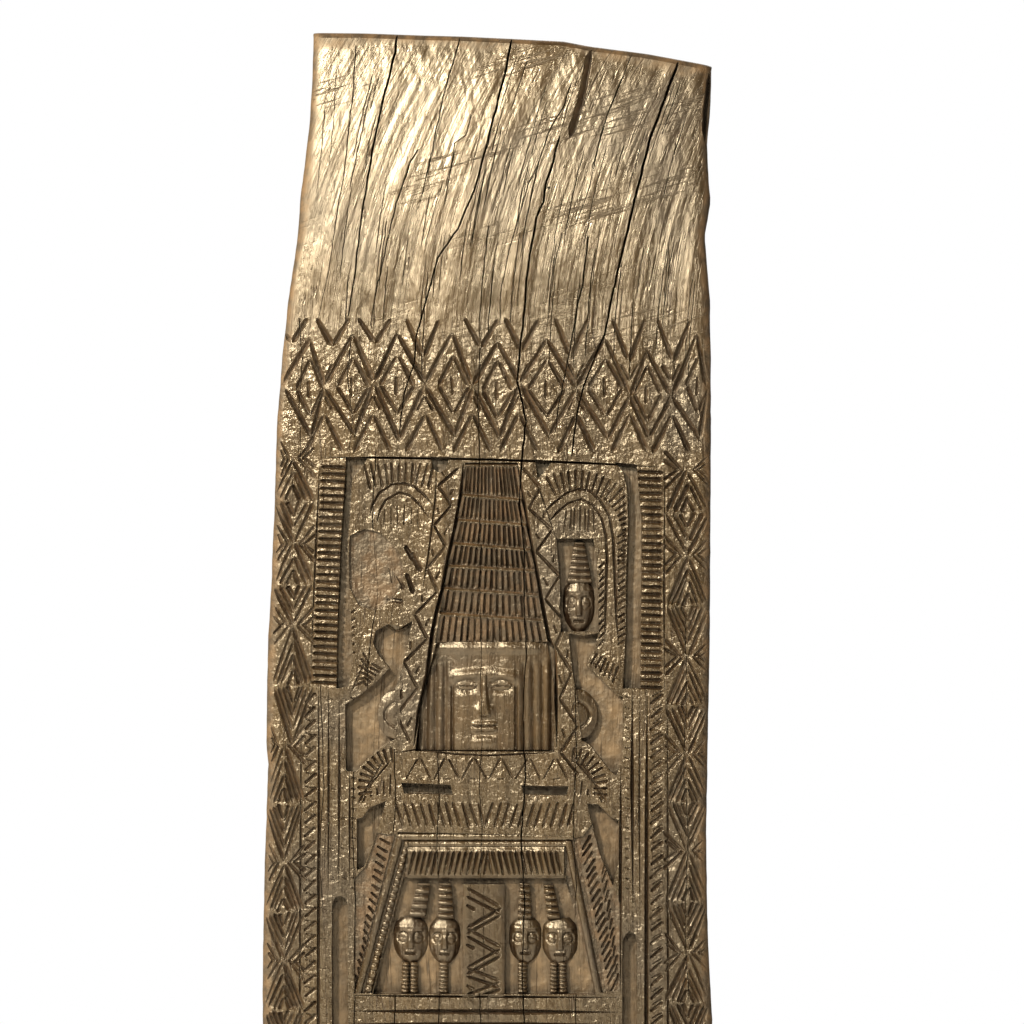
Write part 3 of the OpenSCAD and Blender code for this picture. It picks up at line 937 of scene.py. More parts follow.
def raised(name, left, right, low, high, columns, rows, height, bed):
    """A carved form: a sheet shaped by height(x, z) mm behind the front plane, closed at a bed."""
    bpy.ops.mesh.primitive_grid_add(x_subdivisions=columns, y_subdivisions=rows, size=1)
    piece = bpy.context.object
    piece.name = name
    for vertex in piece.data.vertices:
        u, v = vertex.co.x + 0.5, vertex.co.y + 0.5
        z = low + (high - low) * v
        a = left(z) if callable(left) else left
        b = right(z) if callable(right) else right
        x = a + (b - a) * u
        vertex.co = (x * MM, (FRONT + height(x, z, u, v)) * MM, z * MM)
    extrude((0, 0.1, 0))
    for vertex in piece.data.vertices:
        if vertex.select:
            vertex.co.y = (FRONT + bed) * MM
    face_out()
    plank_pieces.append(piece)
    return piece


def fall(t):
    """How far a round form falls back, from 0 in its middle towards 1 at its rim."""
    return 1 - math.sqrt(max(0, 1 - t))


def slope(foot, head, low, high):
    """An edge that runs straight from foot, at the height low, to head, at the height high."""
    return lambda z: foot + (head - foot) * (z - low) / (high - low)


def bump(value, centre, reach):
    """A smooth hump: 1 at the centre, 0 a reach away."""
    t = min(abs(value - centre) / reach, 1)
    return (1 - t * t) ** 2


def ramp(t):
    t = max(0, min(1, t))
    return t * t * (3 - 2 * t)


HAIRLINE = 585.5
CHIN = 521.5
FACE = HAIRLINE - CHIN


def face_height(x, z, u, v):
    """A calm, symmetric mask on plain thirds, between hanging strands at both sides."""
    s = u * 2 - 1
    dx = x + 2.2
    side = abs(dx)
    y = 2.9 + 6.2 * fall((0.93 * s) ** 2) + 0.45 * ripple(x, z, 6, 5.5)
    rise = (z - CHIN) / FACE
    brow, eye, nose, mouth = 0.69, 0.60, 0.34, 0.22
    y -= 1.7 * bump(rise, brow + 0.02 - 0.03 * ramp(side / 20), 0.075) * (1 - ramp((side - 17) / 6))
    y -= 1.3 * bump(rise, 0.95, 0.07) * (1 - ramp((side - 30) / 6))
    socket = bump(rise, eye, 0.1) * bump(side, 10.5, 8.5)
    y += 2.3 * socket
    lid = 1 - math.hypot((side - 10.5) / 6.2, (rise - eye) * FACE / 2.9)
    if lid > 0:
        y -= 2.0 * math.sqrt(min(lid * 1.6, 1))
        y += 0.9 * bump((rise - eye) * FACE, -0.2 - 0.02 * (side - 10.5) ** 2, 0.55)
    if nose - 0.05 < rise < brow:
        t = (brow - rise) / (brow - nose)
        half = 1.9 + 2.9 * max(t, 0) ** 2
        ridge = max(0, 1 - side / half)
        tip = 1 if rise > nose else ramp((rise - nose + 0.05) / 0.05)
        y -= (1.2 + 2.0 * t) * ramp(ridge * 1.5) * tip
        y -= 1.2 * bump(side, 4.3, 2.2) * bump(rise, nose + 0.03, 0.06)
    for middle, thick, proud in ((mouth + 0.022, 0.032, 1.3), (mouth - 0.026, 0.036, 1.4)):
        y -= proud * bump(rise, middle, thick) * (1 - ramp((side - 5.5) / 3))
    y += 1.0 * bump(rise, mouth, 0.014) * (1 - ramp((side - 6.5) / 2))
    y -= 1.2 * bump(rise, 0.07, 0.09) * (1 - ramp((side - 4) / 5))
    y += 0.7 * bump(rise, 0.135, 0.035) * (1 - ramp((side - 4) / 5))
    if side > 18:
        strand = abs(math.sin((side - 18) * math.pi / 5.6))
        y += 1.5 * (1 - strand) * ramp((side - 18) / 2) * ramp((0.86 - rise) / 0.1)
        y += 1.3 * bump(side, 19, 1.6) * ramp((0.62 - rise) / 0.05)
    return max(y, 0.35)


raised("crowned_head", lambda z: between([(521.5, -43), (545, -40.8), (567, -35.3), (586, -31)], z),
       lambda z: between([(521.5, 39.6), (560, 39.6), (586, 35.6)], z), 521.2, 586, 150, 130, face_height,
       DEEP)


def small_head_height(x, z, u, v):
    """A small egg-shaped head in low relief: ringed round eyes, straight nose, short mouth."""
    s, t = u * 2 - 1, v * 2 - 1
    y = 1.7 + 1.5 * (0.5 - t) * (t < 0.5) + 0.7 * ripple(x, z, 3.5, 1.7)
    y += 6.5 * fall(min(1, s * s * 0.93 + t ** 4 * 0.55))
    y += 1.3 * ramp((0.62 - t) / 0.1) * ramp((t + 0.1) / 0.5)
    y -= 1.7 * ramp(1.5 - abs(s) / 0.17) * ramp((0.55 - t) / 0.2) * ramp((t + 0.34) / 0.06)
    y -= 1.2 * bump(t, 0.5, 0.16) * (1 - ramp((abs(s) - 0.6) / 0.2))
    y += 0.9 * ramp((abs(s) - 0.62) / 0.12) * ramp((0.3 - t) / 0.2)
    ring = math.hypot((abs(s) - 0.44) * 10, (t - 0.16) * 13)
    y += 0.8 * bump(ring, 2.8, 0.9) - 0.5 * bump(ring, 0, 1.6)
    y += 0.9 * bump(t, 0.16, 0.035) * bump(abs(s), 0.44, 0.24)
    y += 1.3 * bump(t, -0.52, 0.07) * ramp((0.42 - abs(s)) / 0.12)
    y -= 0.5 * bump(t, -0.43, 0.08) * ramp((0.4 - abs(s)) / 0.12)
    return max(y, 0.4)


def egg(middle, half, low, high):
    """The left and right edges of an egg, broad at the brow and narrow at the chin."""
    def reach(z):
        t = (z - low) / (high - low)
        return half * math.sqrt(max(0.06, 1 - (abs(t - 0.56) / 0.57) ** 2.6))
    return (lambda z: middle - reach(z)), (lambda z: middle + reach(z))


SMALL_HEADS = [("pendant_head_1", -46.3, 10.6, 392.5, 421), ("pendant_head_2", -26, 9.6, 392, 420.5),
               ("pendant_head_3", 22.4, 9.8, 392.5, 420.5), ("pendant_head_4", 43.2, 10.8, 391.5, 420.5),
               ("niche_head", 54.4, 9.7, 590.5, 623)]
for name, middle, half, low, high in SMALL_HEADS:
    left, right = egg(middle, half, low, high)
    raised(name, left, right, low, high, 40, 54, small_head_height, DEEP + 1)

# the jaw that is left of the broken head
left, right = egg(-54.6, 10.2, 593.5, 622)
raised("broken_head_jaw", left, right, 593.5, 612, 34, 26,
       lambda x, z, u, v: 1.2 + 5 * fall((u * 2 - 1) ** 2 * 0.9) + 2.4 * (1 - v) ** 2
       + 0.8 * bump(v, 0.55, 0.1) + 1.8 * ramp((v - 0.75) / 0.2), DEEP + 1)


def slanted_height(near, round_off, wave, far=0):
    """A rounded strip, optionally notched across by a wave of notches."""
    def height(x, z, u, v):
        s = u * 2 - 1
        y = near + round_off * fall(0.96 * s * s)
        return y + far * (0.5 + 0.5 * math.cos((v + s * 0.006) * wave * 2 * math.pi)) ** 2
    return height


STRIPS = [
    # name, left and right edge at the bottom and top, heights, near, rounding, notches, notch depth
    ("hat_1", (-47.5, -37.5), (-42, -34.5), 421, 441.5, 0.8, 1.4, 4.5, 2.2),
    ("hat_2", (-30, -20.5), (-29, -22), 420, 441.5, 0.8, 1.4, 5.5, 2.2),
    ("hat_3", (17.8, 26.2), (18.8, 25), 420, 441.5, 0.8, 1.4, 5.5, 2.2),
    ("hat_4", (35.5, 43.5), (33.2, 39.2), 420, 440.5, 0.8, 1.4, 5.5, 2.2),
    ("niche_hat", (47.5, 62.3), (51.8, 57.6), 621, 645.5, 1.6, 1.2, 6.5, 2.0),
    ("cord_1_left", (-52, -47.4), (-51.6, -47.2), 375.5, 394, 3.0, 1.8, 8, 1.1),
    ("cord_1_right", (-46.6, -42), (-46.4, -42), 375.5, 394, 3.0, 1.8, 8, 1.1),
    ("cord_2", (-29.4, -24), (-29.2, -24), 375.5, 394, 3.0, 1.8, 8, 1.1),
    ("cord_3", (18, 23.4), (18, 23.6), 375.5, 394, 3.0, 1.8, 8, 1.1),
    ("cord_4_left", (37.2, 41.6), (37.2, 41.6), 375.5, 394, 3.0, 1.8, 8, 1.1),
    ("cord_4_right", (42.6, 47.4), (42.4, 47), 375.5, 394, 3.0, 1.8, 8, 1.1),
    ("left_plain_bar", (-80, -75.6), (-54.4, -50.4), 376, 470, 0.5, 2.0, 0, 0),
    ("left_rope_bar", (-74.4, -69.6), (-49.8, -46.2), 376, 467, 0.4, 2.0, 21, 1.3),
    ("right_plain_bar", (63.8, 68.4), (45.8, 50.2), 376, 467, 0.5, 2.0, 0, 0),
    ("upper_tie_bar", (-54.2, 51), (-53.6, 50.6), 467.3, 471.6, 0.5, 0, 0, 0),
    ("lower_tie_bar", (-48.8, 47.4), (-49, 47.6), 463.2, 466.9, 1.0, 0, 0, 0),
]
for name, base, top, low, high, near, rounding, wave, depth in STRIPS:
    left = slope(base[0], top[0], low, high)
    right = slope(base[1], top[1], low, high)
    if rounding:
        raised(name, left, right, low, high, 10, int(max(40, wave * 10)),
               slanted_height(near, rounding, wave, depth), DEEP + 1)
    else:
        raised(name, left, right, low, high, 60, 8,
               lambda x, z, u, v, a=near: a + 1.6 * fall(0.96 * (v * 2 - 1) ** 2)
               + 0.25 * ripple(x, z, 7, 2), DEEP - 2)

# ears: half discs that stand out from the veil over the ground
for name, x, sign in (("left_ear", -54.5, -1), ("right_ear", 54, 1)):
    def ear_edge(z, x=x, sign=sign):
        return x + sign * 11.5 * math.sqrt(max(0.02, 1 - ((z - 542.5) / 15.2) ** 2))
    edges = (ear_edge, x - sign * 2) if sign < 0 else (x - sign * 2, ear_edge)
    raised(name, edges[0], edges[1], 527.5, 557.5, 22, 40,
           lambda x, z, u, v, sign=sign: 0.8 + 2.2 * ((1 - u) if sign < 0 else u) ** 2
           + 1.3 * bump(math.hypot(((1 - u) if sign < 0 else u) * 12, (v - 0.5) * 30), 8, 1.5), DEEP + 1)

# the tab under the collar
raised("collar_tab", -20.6, 19.8, 494.8, 501.8, 60, 12, lambda x, z, u, v: 0.4 + 3.2 * (1 - v) ** 2
       + 0.5 * bump(v, 0.45, 0.1), DEEP)

# the fringe: a lip that stands forward over the row of heads, later cut into slanting leaves
fringe = raised("fringe", -48, 45.6, 444.6, 463.4, 90, 26,
                lambda x, z, u, v: 0.4 + 0.8 * (1 - v) + 1.2 * ramp((v - 0.86) / 0.14)
                + 1.4 * ramp((0.12 - v) / 0.12) + 0.3 * ripple(x, z, 6, 9), DEEP - 1)
leaves = []
for i in range(27):
    x = -46.5 + i * 3.45
    slant = 3.4 if x < 0 else -3.4
    cut(leaves, (x - slant * 0.3, 445.5), (x + slant * 0.75, 461.6), 2.5, 2.2, shake=0.3)
carve(fringe, leaves, level=lambda x, z: FRONT + 0.9)

plaque = raised("plaque", lambda z: -15.4 + (z - 374) * 0.01, 10, 373.4, 441, 24, 60,
                lambda x, z, u, v: 0.9 + 0.9 * (abs(u - 0.5) * 2) ** 8 + 0.3 * ripple(x, z, 8, 9), DEEP)
marks = []
TURNS = [(-13.5, 439), (8.5, 427), (-13.5, 415), (8.5, 403), (-13.5, 391), (8.5, 383), (-13.5, 374)]
for start, end in zip(TURNS, TURNS[1:]):
    for gap in (0, 4.4):
        cut(marks, (start[0], start[1] - gap), (end[0], end[1] - gap), 3, 2.3, shake=0.4)
for z in (429, 405, 381):
    cut(marks, (-13.5, z), (-7.5, z - 3), 2.6, 1.8)
cut(marks, (-2.6, 440), (-2.2, 374), 0.8, 0.6)
carve(plaque, marks, level=lambda x, z: FRONT + 1.05)

for piece in plank_pieces[1:]:
    xs = [vertex.co.x for vertex in piece.data.vertices]
    zs = [vertex.co.z for vertex in piece.data.vertices]
    left, right, low, high = min(xs), max(xs), min(zs), max(zs)
    for split in splits:
        if any(low < v.co.z < high and left < v.co.x < right for v in split.data.vertices):
            take_out(piece, split, keep=True)
for split in splits:
    bpy.data.objects.remove(split)
bpy.data.objects.remove(gouge)

for piece in plank_pieces:
    wear = piece.data.attributes.new("rim_wear", 'FLOAT', 'POINT')
    rounded = piece.data.attributes.new("rounded", 'FLOAT', 'POINT')
    painted_lower_shade = piece.data.attributes.new("painted_lower_shade", 'FLOAT', 'POINT')
    for mark in rounded.data:
        mark.value = 0.0 if piece == plank else 1.0
    # painted shade: the lower halves of the small heads are marked here, to be darkened as shade below the
    # nose
    for name, middle, half, low, high in SMALL_HEADS:
        if piece.name == name:
            for vertex, mark in zip(piece.data.vertices, painted_lower_shade.data):
                mark.value = ramp((0.48 - (vertex.co.z / MM - low) / (high - low)) * 6)
    for vertex, mark in zip(piece.data.vertices, wear.data):
        x, y, z = vertex.co / MM
        gap = min(x - between(LEFT_EDGE, z), between(RIGHT_EDGE, z) - x, (between(TOP_EDGE, x) - z) * 0.6)
        mark.value = max(0, 1 - max(gap, 0) / 8)
    only(piece)
    bpy.ops.object.shade_smooth_by_angle(angle=math.radians(32))
    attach(piece, "root")
    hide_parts("carved_plank")

# --------
# The plank's skin: close-grained dark hardwood, rubbed to a polish where heads and hands have
# rested, with dry brown dust in the cuts and floors, hairline checks and fine slanting scratches.
# Painted shade darkens its creases and the lower halves of the small heads.
# --------
def place(tree, kind, **settings):
    part = tree.nodes.new(kind)
    for key, value in settings.items():
        setattr(part, key, value)
    return part


def feed(tree, socket, value):
    if isinstance(value, bpy.types.NodeSocket):
        tree.links.new(value, socket)
    else:
        socket.default_value = value


def calc(tree, operation, a, b=0.0, clamp=False):
    part = place(tree, "ShaderNodeMath", operation=operation, use_clamp=clamp)
    feed(tree, part.inputs[0], a)
    feed(tree, part.inputs[1], b)
    return part.outputs[0]


def times(tree, first, *others):
    for other in others:
        first = calc(tree, 'MULTIPLY', first, other)
    return first


def plus(tree, first, *others, clamp=False):
    for other in others:
        first = calc(tree, 'ADD', first, other, clamp)
    return first


def less(tree, a, b):
    return calc(tree, 'SUBTRACT', a, b)


def step_up(tree, value, low, high):
    """0 below low, 1 above high, smooth between them."""
    part = place(tree, "ShaderNodeMapRange", interpolation_type='SMOOTHSTEP')
    for name, number in (("Value", value), ("From Min", low), ("From Max", high)):
        feed(tree, part.inputs[name], number)
    return part.outputs["Result"]


def noise_at(tree, vector, scale, detail=2.0, rough=0.5, twist=0.0):
    part = place(tree, "ShaderNodeTexNoise")
    feed(tree, part.inputs["Vector"], vector)
    for name, number in (("Scale", scale), ("Detail", detail), ("Roughness", rough), ("Distortion", twist)):
        part.inputs[name].default_value = number
    return part.outputs[0]


def cells_at(tree, vector, scale, **more):
    part = place(tree, "ShaderNodeTexVoronoi", **more)
    feed(tree, part.inputs["Vector"], vector)
    part.inputs["Scale"].default_value = scale
    return part.outputs["Distance"]


def mixed(tree, factor, a, b):
    part = place(tree, "ShaderNodeMix", data_type='RGBA')
    for index, value in ((0, factor), (6, a), (7, b)):
        feed(tree, part.inputs[index], value)
    return part.outputs[2]


def own_space(tree):
    return place(tree, "ShaderNodeTexCoord").outputs["Object"]


def axes(tree):
    """The x, y and z of a point in the piece's own space, in metres."""
    part = place(tree, "ShaderNodeSeparateXYZ")
    feed(tree, part.inputs[0], own_space(tree))
    return part.outputs


def stretched(tree, scale, turn=0, **more):
    """The piece's own space scaled, and turned about y."""
    part = place(tree, "ShaderNodeMapping", **more)
    feed(tree, part.inputs["Vector"], own_space(tree))
    part.inputs["Rotation"].default_value = (0, turn, 0)
    part.inputs["Scale"].default_value = scale
    return part.outputs[0]


def painted(tree, name):
    """An attribute stored on the piece's points."""
    return place(tree, "ShaderNodeAttribute", attribute_name=name).outputs["Fac"]


def painted_crease_shade(tree, colour, reach, clear, full, dark):
    """Paints shade into a colour: darker in creases, found by how much of the sky they see within a reach."""
    part = place(tree, "ShaderNodeAmbientOcclusion", samples=6)
    part.inputs["Distance"].default_value = reach
    return mixed(tree, step_up(tree, part.outputs["AO"], clear, full), colour, dark)


def soft_edges(tree, radius):
    part = place(tree, "ShaderNodeBevel", samples=4)
    part.inputs["Radius"].default_value = radius
    return part.outputs[0]


def raise_bump(tree, height, strength, distance, normal=None):
    part = place(tree, "ShaderNodeBump")
    part.inputs["Strength"].default_value = strength
    part.inputs["Distance"].default_value = distance
    feed(tree, part.inputs["Height"], height)
    if normal is not None:
        feed(tree, part.inputs["Normal"], normal)
    return part.outputs["Normal"]


def new_skin(name):
    """A new material, its node tree and its shader's inputs."""
    material = bpy.data.materials.new(name)
    material.use_nodes = True
    return material, material.node_tree, material.node_tree.nodes["Principled BSDF"].inputs


def new_group(name, label, number, outputs):
    """A node group with one number to set and named values put out."""
    group = bpy.data.node_groups.new(name, "ShaderNodeTree")
    socket = group.interface.new_socket(name=label, in_out='INPUT', socket_type='NodeSocketFloat')
    socket.default_value = number
    for output in outputs:
        group.interface.new_socket(name=output, in_out='OUTPUT', socket_type='NodeSocketFloat')
    return group, place(group, "NodeGroupInput").outputs[0], place(group, "NodeGroupOutput").inputs


def grain_group():
    """Grain, pores and hairline checks along the length, leaning right towards the head end."""
    tree, lean, out = new_group("wood_grain", "Lean", 1.0, ["Grain", "Pores", "Checks", "Bands"])
    x, y, z = axes(tree)
    above = calc(tree, 'MAXIMUM', less(tree, z, LEAN_START * MM), 0)
    leaning = times(tree, above, above, times(tree, lean, 1.35))
    sway = times(tree, calc(tree, 'SINE', times(tree, z, 17)), 0.0025)
    straight = plus(tree, less(tree, x, leaning), sway)

    def along(stretch):
        vector = place(tree, "ShaderNodeCombineXYZ")
        for index, value in enumerate((straight, times(tree, y, 0.6), times(tree, z, stretch))):
            feed(tree, vector.inputs[index], value)
        return vector.outputs[0]
    feed(tree, out["Grain"], noise_at(tree, along(0.05), 900, 4, 0.6))
    feed(tree, out["Pores"], step_up(tree, noise_at(tree, along(0.09), 1500, 2, 0.5), 0.6, 0.72))
    off = calc(tree, 'ABSOLUTE', less(tree, noise_at(tree, along(0.03), 170, 1.5, 0.45), 0.5))
    broken = step_up(tree, noise_at(tree, along(0.3), 60, 1, 0.5), 0.42, 0.6)
    feed(tree, out["Checks"], times(tree, step_up(tree, off, 0.012, 0.002), broken))
    feed(tree, out["Bands"], noise_at(tree, along(0.07), 48, 3, 0.55))
    return tree


def carving_group():
    """How far a point lies under the hewn face: in the gouge cuts, and on the floors."""
    tree, face, out = new_group("carving_depth", "Face", -0.024, ["Cut", "Floor"])
    x, y, z = axes(tree)
    above = calc(tree, 'MAXIMUM', less(tree, z, ROLL_START * MM), 0)
    rolled = times(tree, above, above, 0.1757)
    bulge_in = calc(tree, 'DIVIDE', less(tree, z, BULGE_START * MM), BULGE_RISE * MM, clamp=True)
    bulge = times(tree, x, x, 0.2083, bulge_in)
    under = less(tree, less(tree, y, face), plus(tree, rolled, bulge))
    feed(tree, out["Cut"], step_up(tree, under, 0.0007, 0.0020))
    feed(tree, out["Floor"], step_up(tree, under, 0.0045, 0.0085))
    return tree


def scratch_group():
    """Bundles of fine scratches that rise to the right, left by years of rubbing."""
    tree, amount, out = new_group("rub_scratches", "Amount", 1.0, ["Scratches"])
    lines = noise_at(tree, stretched(tree, (30, 2, 1), -0.3, vector_type='TEXTURE'), 720, 2.5, 0.6)
    patches = noise_at(tree, stretched(tree, (3.5, 2, 1), -0.3, vector_type='TEXTURE'), 34, 1.5, 0.5)
    marks = times(tree, step_up(tree, lines, 0.53, 0.68), step_up(tree, patches, 0.5, 0.64))
    feed(tree, out["Scratches"], times(tree, marks, amount))
    return tree


def use(tree, group, **values):
    part = place(tree, "ShaderNodeGroup", node_tree=group)
    for key, value in values.items():
        part.inputs[key].default_value = value
    return part.outputs


def plank_wood():
    material, tree, skin = new_skin("polished_plank_wood")
    grain = use(tree, grain_group(), Lean=1.0)
    carved = use(tree, carving_group(), Face=FRONT * MM)
    where = own_space(tree)
    x, y, z = axes(tree)
    scratches = times(tree, use(tree, scratch_group(), Amount=1.0)["Scratches"], step_up(tree, z, 0.66, 0.82))
    cloud = noise_at(tree, where, 14, 3, 0.55)
    mottle = step_up(tree, noise_at(tree, where, 120, 3, 0.6), 0.35, 0.65)
    flat = less(tree, 1, times(tree, painted(tree, "rounded"), 0.75))
    in_cut = times(tree, carved["Cut"], flat)
    on_floor = times(tree, carved["Floor"], flat)
    rim = plus(tree, painted(tree, "rim_wear"), times(tree, less(tree, cloud, 0.5), 1.6))
    rim = step_up(tree, rim, 0.25, 0.6)
    at_back = step_up(tree, plus(tree, y, times(tree, cloud, 0.006)), 0.012, 0.02)

    # dark wood, then dust in the cuts, pale floors, the worn rim, checks, and the dry back, then painted
    # shade on the small heads' lower halves and in the creases
    bands = step_up(tree, grain["Bands"], 0.3, 0.7)
    colour = mixed(tree, bands, (0.016, 0.01, 0.004, 1), (0.045, 0.029, 0.013, 1))
    colour = mixed(tree, times(tree, grain["Grain"], 0.6), colour, (0.06, 0.042, 0.023, 1))
    colour = mixed(tree, step_up(tree, cloud, 0.45, 0.75), colour, (0.026, 0.02, 0.015, 1))
    colour = mixed(tree, times(tree, grain["Pores"], 0.7), colour, (0.012, 0.006, 0.003, 1))
    for mask, share, dark, light in ((in_cut, 0.85, (0.012, 0.0055, 0.002, 1), (0.05, 0.024, 0.008, 1)),
                                     (on_floor, 0.8, (0.06, 0.038, 0.019, 1), (0.14, 0.095, 0.052, 1)),
                                     (rim, 0.8, (0.022, 0.012, 0.005, 1), (0.08, 0.046, 0.02, 1))):
        colour = mixed(tree, times(tree, mask, share), colour, mixed(tree, mottle, dark, light))
    colour = mixed(tree, times(tree, grain["Checks"], 0.9), colour, (0.018, 0.01, 0.006, 1))
    colour = mixed(tree, times(tree, scratches, 0.7), colour, (0.02, 0.012, 0.006, 1))
    dry = mixed(tree, grain["Bands"], (0.045, 0.033, 0.022, 1), (0.13, 0.1, 0.07, 1))
    dry = mixed(tree, times(tree, grain["Grain"], 0.5), dry, (0.17, 0.135, 0.1, 1))
    dry = mixed(tree, grain["Checks"], dry, (0.015, 0.01, 0.007, 1))
    colour = mixed(tree, at_back, colour, dry)
    # painted shade on the lower halves of the small heads, darkest from the chin up past the mouth
    colour = mixed(tree, times(tree, painted(tree, "painted_lower_shade"), 0.75), colour, (0.014, 0.007, 0.003, 1))
    # painted shade: the colour is darkened in creases and deep corners, by how little sky they see
    feed(tree, skin["Base Color"], painted_crease_shade(tree, colour, 0.009, 0.85, 0.25, (0.012, 0.006, 0.003, 1)))

    # polished where bare, dull in cuts, on the rim and at the back
    feed(tree, skin["Roughness"], plus(
        tree, times(tree, grain["Grain"], 0.25), times(tree, cloud, 0.25), 0.03, times(tree, in_cut, 0.2),
        times(tree, rim, 0.25), times(tree, at_back, 0.4), times(tree, scratches, 0.15), clamp=True))
    skin["Specular IOR Level"].default_value = 1.0
    skin["Specular Tint"].default_value = (1, 0.9, 0.74, 1)

    # fibre, scratches, chisel nicks, swells, hammered face under the head end, and adze marks behind
    drawn = stretched(tree, (1, 1, 0.4))
    fibre = less(tree, grain["Grain"], times(tree, grain["Checks"], 1.6))
    fibre = less(tree, fibre, times(tree, grain["Pores"], 0.6))
    low_down = times(tree, step_up(tree, z, 0.79, 0.74), less(tree, 1, times(tree, on_floor, 0.7)))
    small = times(tree, noise_at(tree, where, 420, 2, 0.6), 0.4)
    uneven = plus(tree, noise_at(tree, where, 130, 2, 0.5), small)
    uneven = times(tree, uneven, low_down, plus(tree, flat, 0.2, clamp=True))
    normal = soft_edges(tree, 0.0005)
    for height, strength, distance in (
            (fibre, 0.5, 0.0005), (times(tree, scratches, -1), 0.8, 0.0005),
            (times(tree, cells_at(tree, where, 260), on_floor), 0.25, 0.001),
            (noise_at(tree, drawn, 90, 3, 0.55), 0.3, 0.004), (grain["Bands"], 0.5, 0.006),
            (uneven, 0.6, 0.003),
            (times(tree, cells_at(tree, drawn, 42, feature='SMOOTH_F1'), at_back), 0.8, 0.006)):
        normal = raise_bump(tree, height, strength, distance, normal)
    feed(tree, skin["Normal"], normal)
    return material


PLANK_WOOD = plank_wood()
for piece in plank_pieces:
    piece.data.materials.clear()
    piece.data.materials.append(PLANK_WOOD)


def finish_piece(piece, node, skin, angle):
    piece.data.materials.clear()
    piece.data.materials.append(skin)
    for face in piece.data.polygons:
        face.material_index = 0
    only(piece)
    bpy.ops.object.shade_smooth_by_angle(angle=math.radians(angle))
    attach(piece, "root")
    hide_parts(node)


# --------
# The three battens: adzed bars of a paler wood, driven sideways into dovetail housings across
# the back to hold the split plank together. Their faces keep the adze's shallow scallops.
# --------
def batten_wood():
    material, tree, skin = new_skin("adzed_batten_wood")
    drawn = stretched(tree, (0.06, 0.8, 1))
    fine = noise_at(tree, drawn, 800, 4, 0.6)
    bands = noise_at(tree, drawn, 130, 3, 0.55, 0.4)
    cloud = noise_at(tree, own_space(tree), 22, 4, 0.6)
    colour = mixed(tree, step_up(tree, bands, 0.3, 0.7), (0.075, 0.045, 0.022, 1), (0.2, 0.135, 0.075, 1))
    colour = mixed(tree, times(tree, fine, 0.55), colour, (0.24, 0.18, 0.115, 1))
    colour = mixed(tree, step_up(tree, cloud, 0.5, 0.72), colour, (0.07, 0.05, 0.034, 1))
    colour = mixed(tree, step_up(tree, fine, 0.36, 0.26), colour, (0.03, 0.018, 0.009, 1))
    # painted shade: the batten's colour is darkened in its creases and corners, by how little sky they see
    feed(tree, skin["Base Color"], painted_crease_shade(tree, colour, 0.006, 0.7, 0.2, (0.03, 0.018, 0.009, 1)))
    feed(tree, skin["Roughness"], plus(tree, times(tree, fine, 0.3), 0.45))
    normal = raise_bump(tree, fine, 0.6, 0.0006, soft_edges(tree, 0.0008))
    feed(tree, skin["Normal"], raise_bump(tree, bands, 0.4, 0.0012, normal))
    return material


BATTEN_WOOD = batten_wood()
SECTION = [(8.1, -19.8), (8.1, -12), (8.1, 0), (8.1, 12), (8.1, 19.8), (13, 18.4), (17.8, 16.9), (22.4, 16.9),
           (23.7, 15.6), (23.7, 11), (23.7, 6.5), (23.7, 2), (23.7, -2), (23.7, -6.5), (23.7, -11),
           (23.7, -15.6), (22.4, -16.9), (17.8, -16.9), (13, -18.4)]
for name in BATTENS:
    low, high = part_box(name)
    start, end, z = low[0] / MM + 0.3, high[0] / MM - 0.3, (low[2] + high[2]) / 2 / MM
    rows = []
    for i in range(73):
        x = start + (end - start) * i / 72
        pinch = (2.2, 0.9, 0.2)[min(i, 72 - i)] if min(i, 72 - i) < 3 else 0
        scallop = 0.45 * abs(math.sin(x / 8.5 + 0.8 * ripple(x, z, 30, 2.2) * 6))
        row = []
        for y, across in SECTION:
            if y > 18:
                y -= scallop * (0.5 + ripple(x, across, 11, 7.7))
                y -= 0.7 * ripple(x, across, 18, z) + pinch * 0.7
            across -= math.copysign(pinch + 0.35 * ripple(x, y, 8, z), across) if abs(across) > 12 else 0
            row.append((x, y, z + across))
        rows.append(row)
    batten = lofted(name + "_body", rows)
    take_out(batten, bores, keep=True)
    finish_piece(batten, name, BATTEN_WOOD, 34)
bpy.data.objects.remove(bores)


# --------
# The nine pegs: whittled hardwood dowels with knife facets and a chamfered end, driven through
# the battens into the plank. Their sawn ends show growth rings and stand a little proud.
# --------
def peg_wood():
    material, tree, skin = new_skin("whittled_peg_wood")
    drawn = stretched(tree, (1, 0.05, 1))
    fibre = noise_at(tree, drawn, 1300, 3, 0.6)
    heart = painted(tree, "from_heart")
    wobble = times(tree, noise_at(tree, drawn, 260, 2, 0.5), 0.35)
    rings = calc(tree, 'SINE', times(tree, plus(tree, heart, wobble), 34))
    colour = mixed(tree, fibre, (0.15, 0.085, 0.038, 1), (0.34, 0.225, 0.12, 1))
    colour = mixed(tree, times(tree, step_up(tree, rings, 0.2, 0.9), 0.5), colour, (0.1, 0.055, 0.024, 1))
    colour = mixed(tree, step_up(tree, heart, 0.86, 1.0), colour, (0.08, 0.047, 0.022, 1))
    feed(tree, skin["Base Color"], colour)
    feed(tree, skin["Roughness"], plus(tree, times(tree, fibre, 0.3), 0.4))
    feed(tree, skin["Normal"], raise_bump(tree, plus(tree, fibre, times(tree, rings, 0.2)), 0.5, 0.0005))
    return material


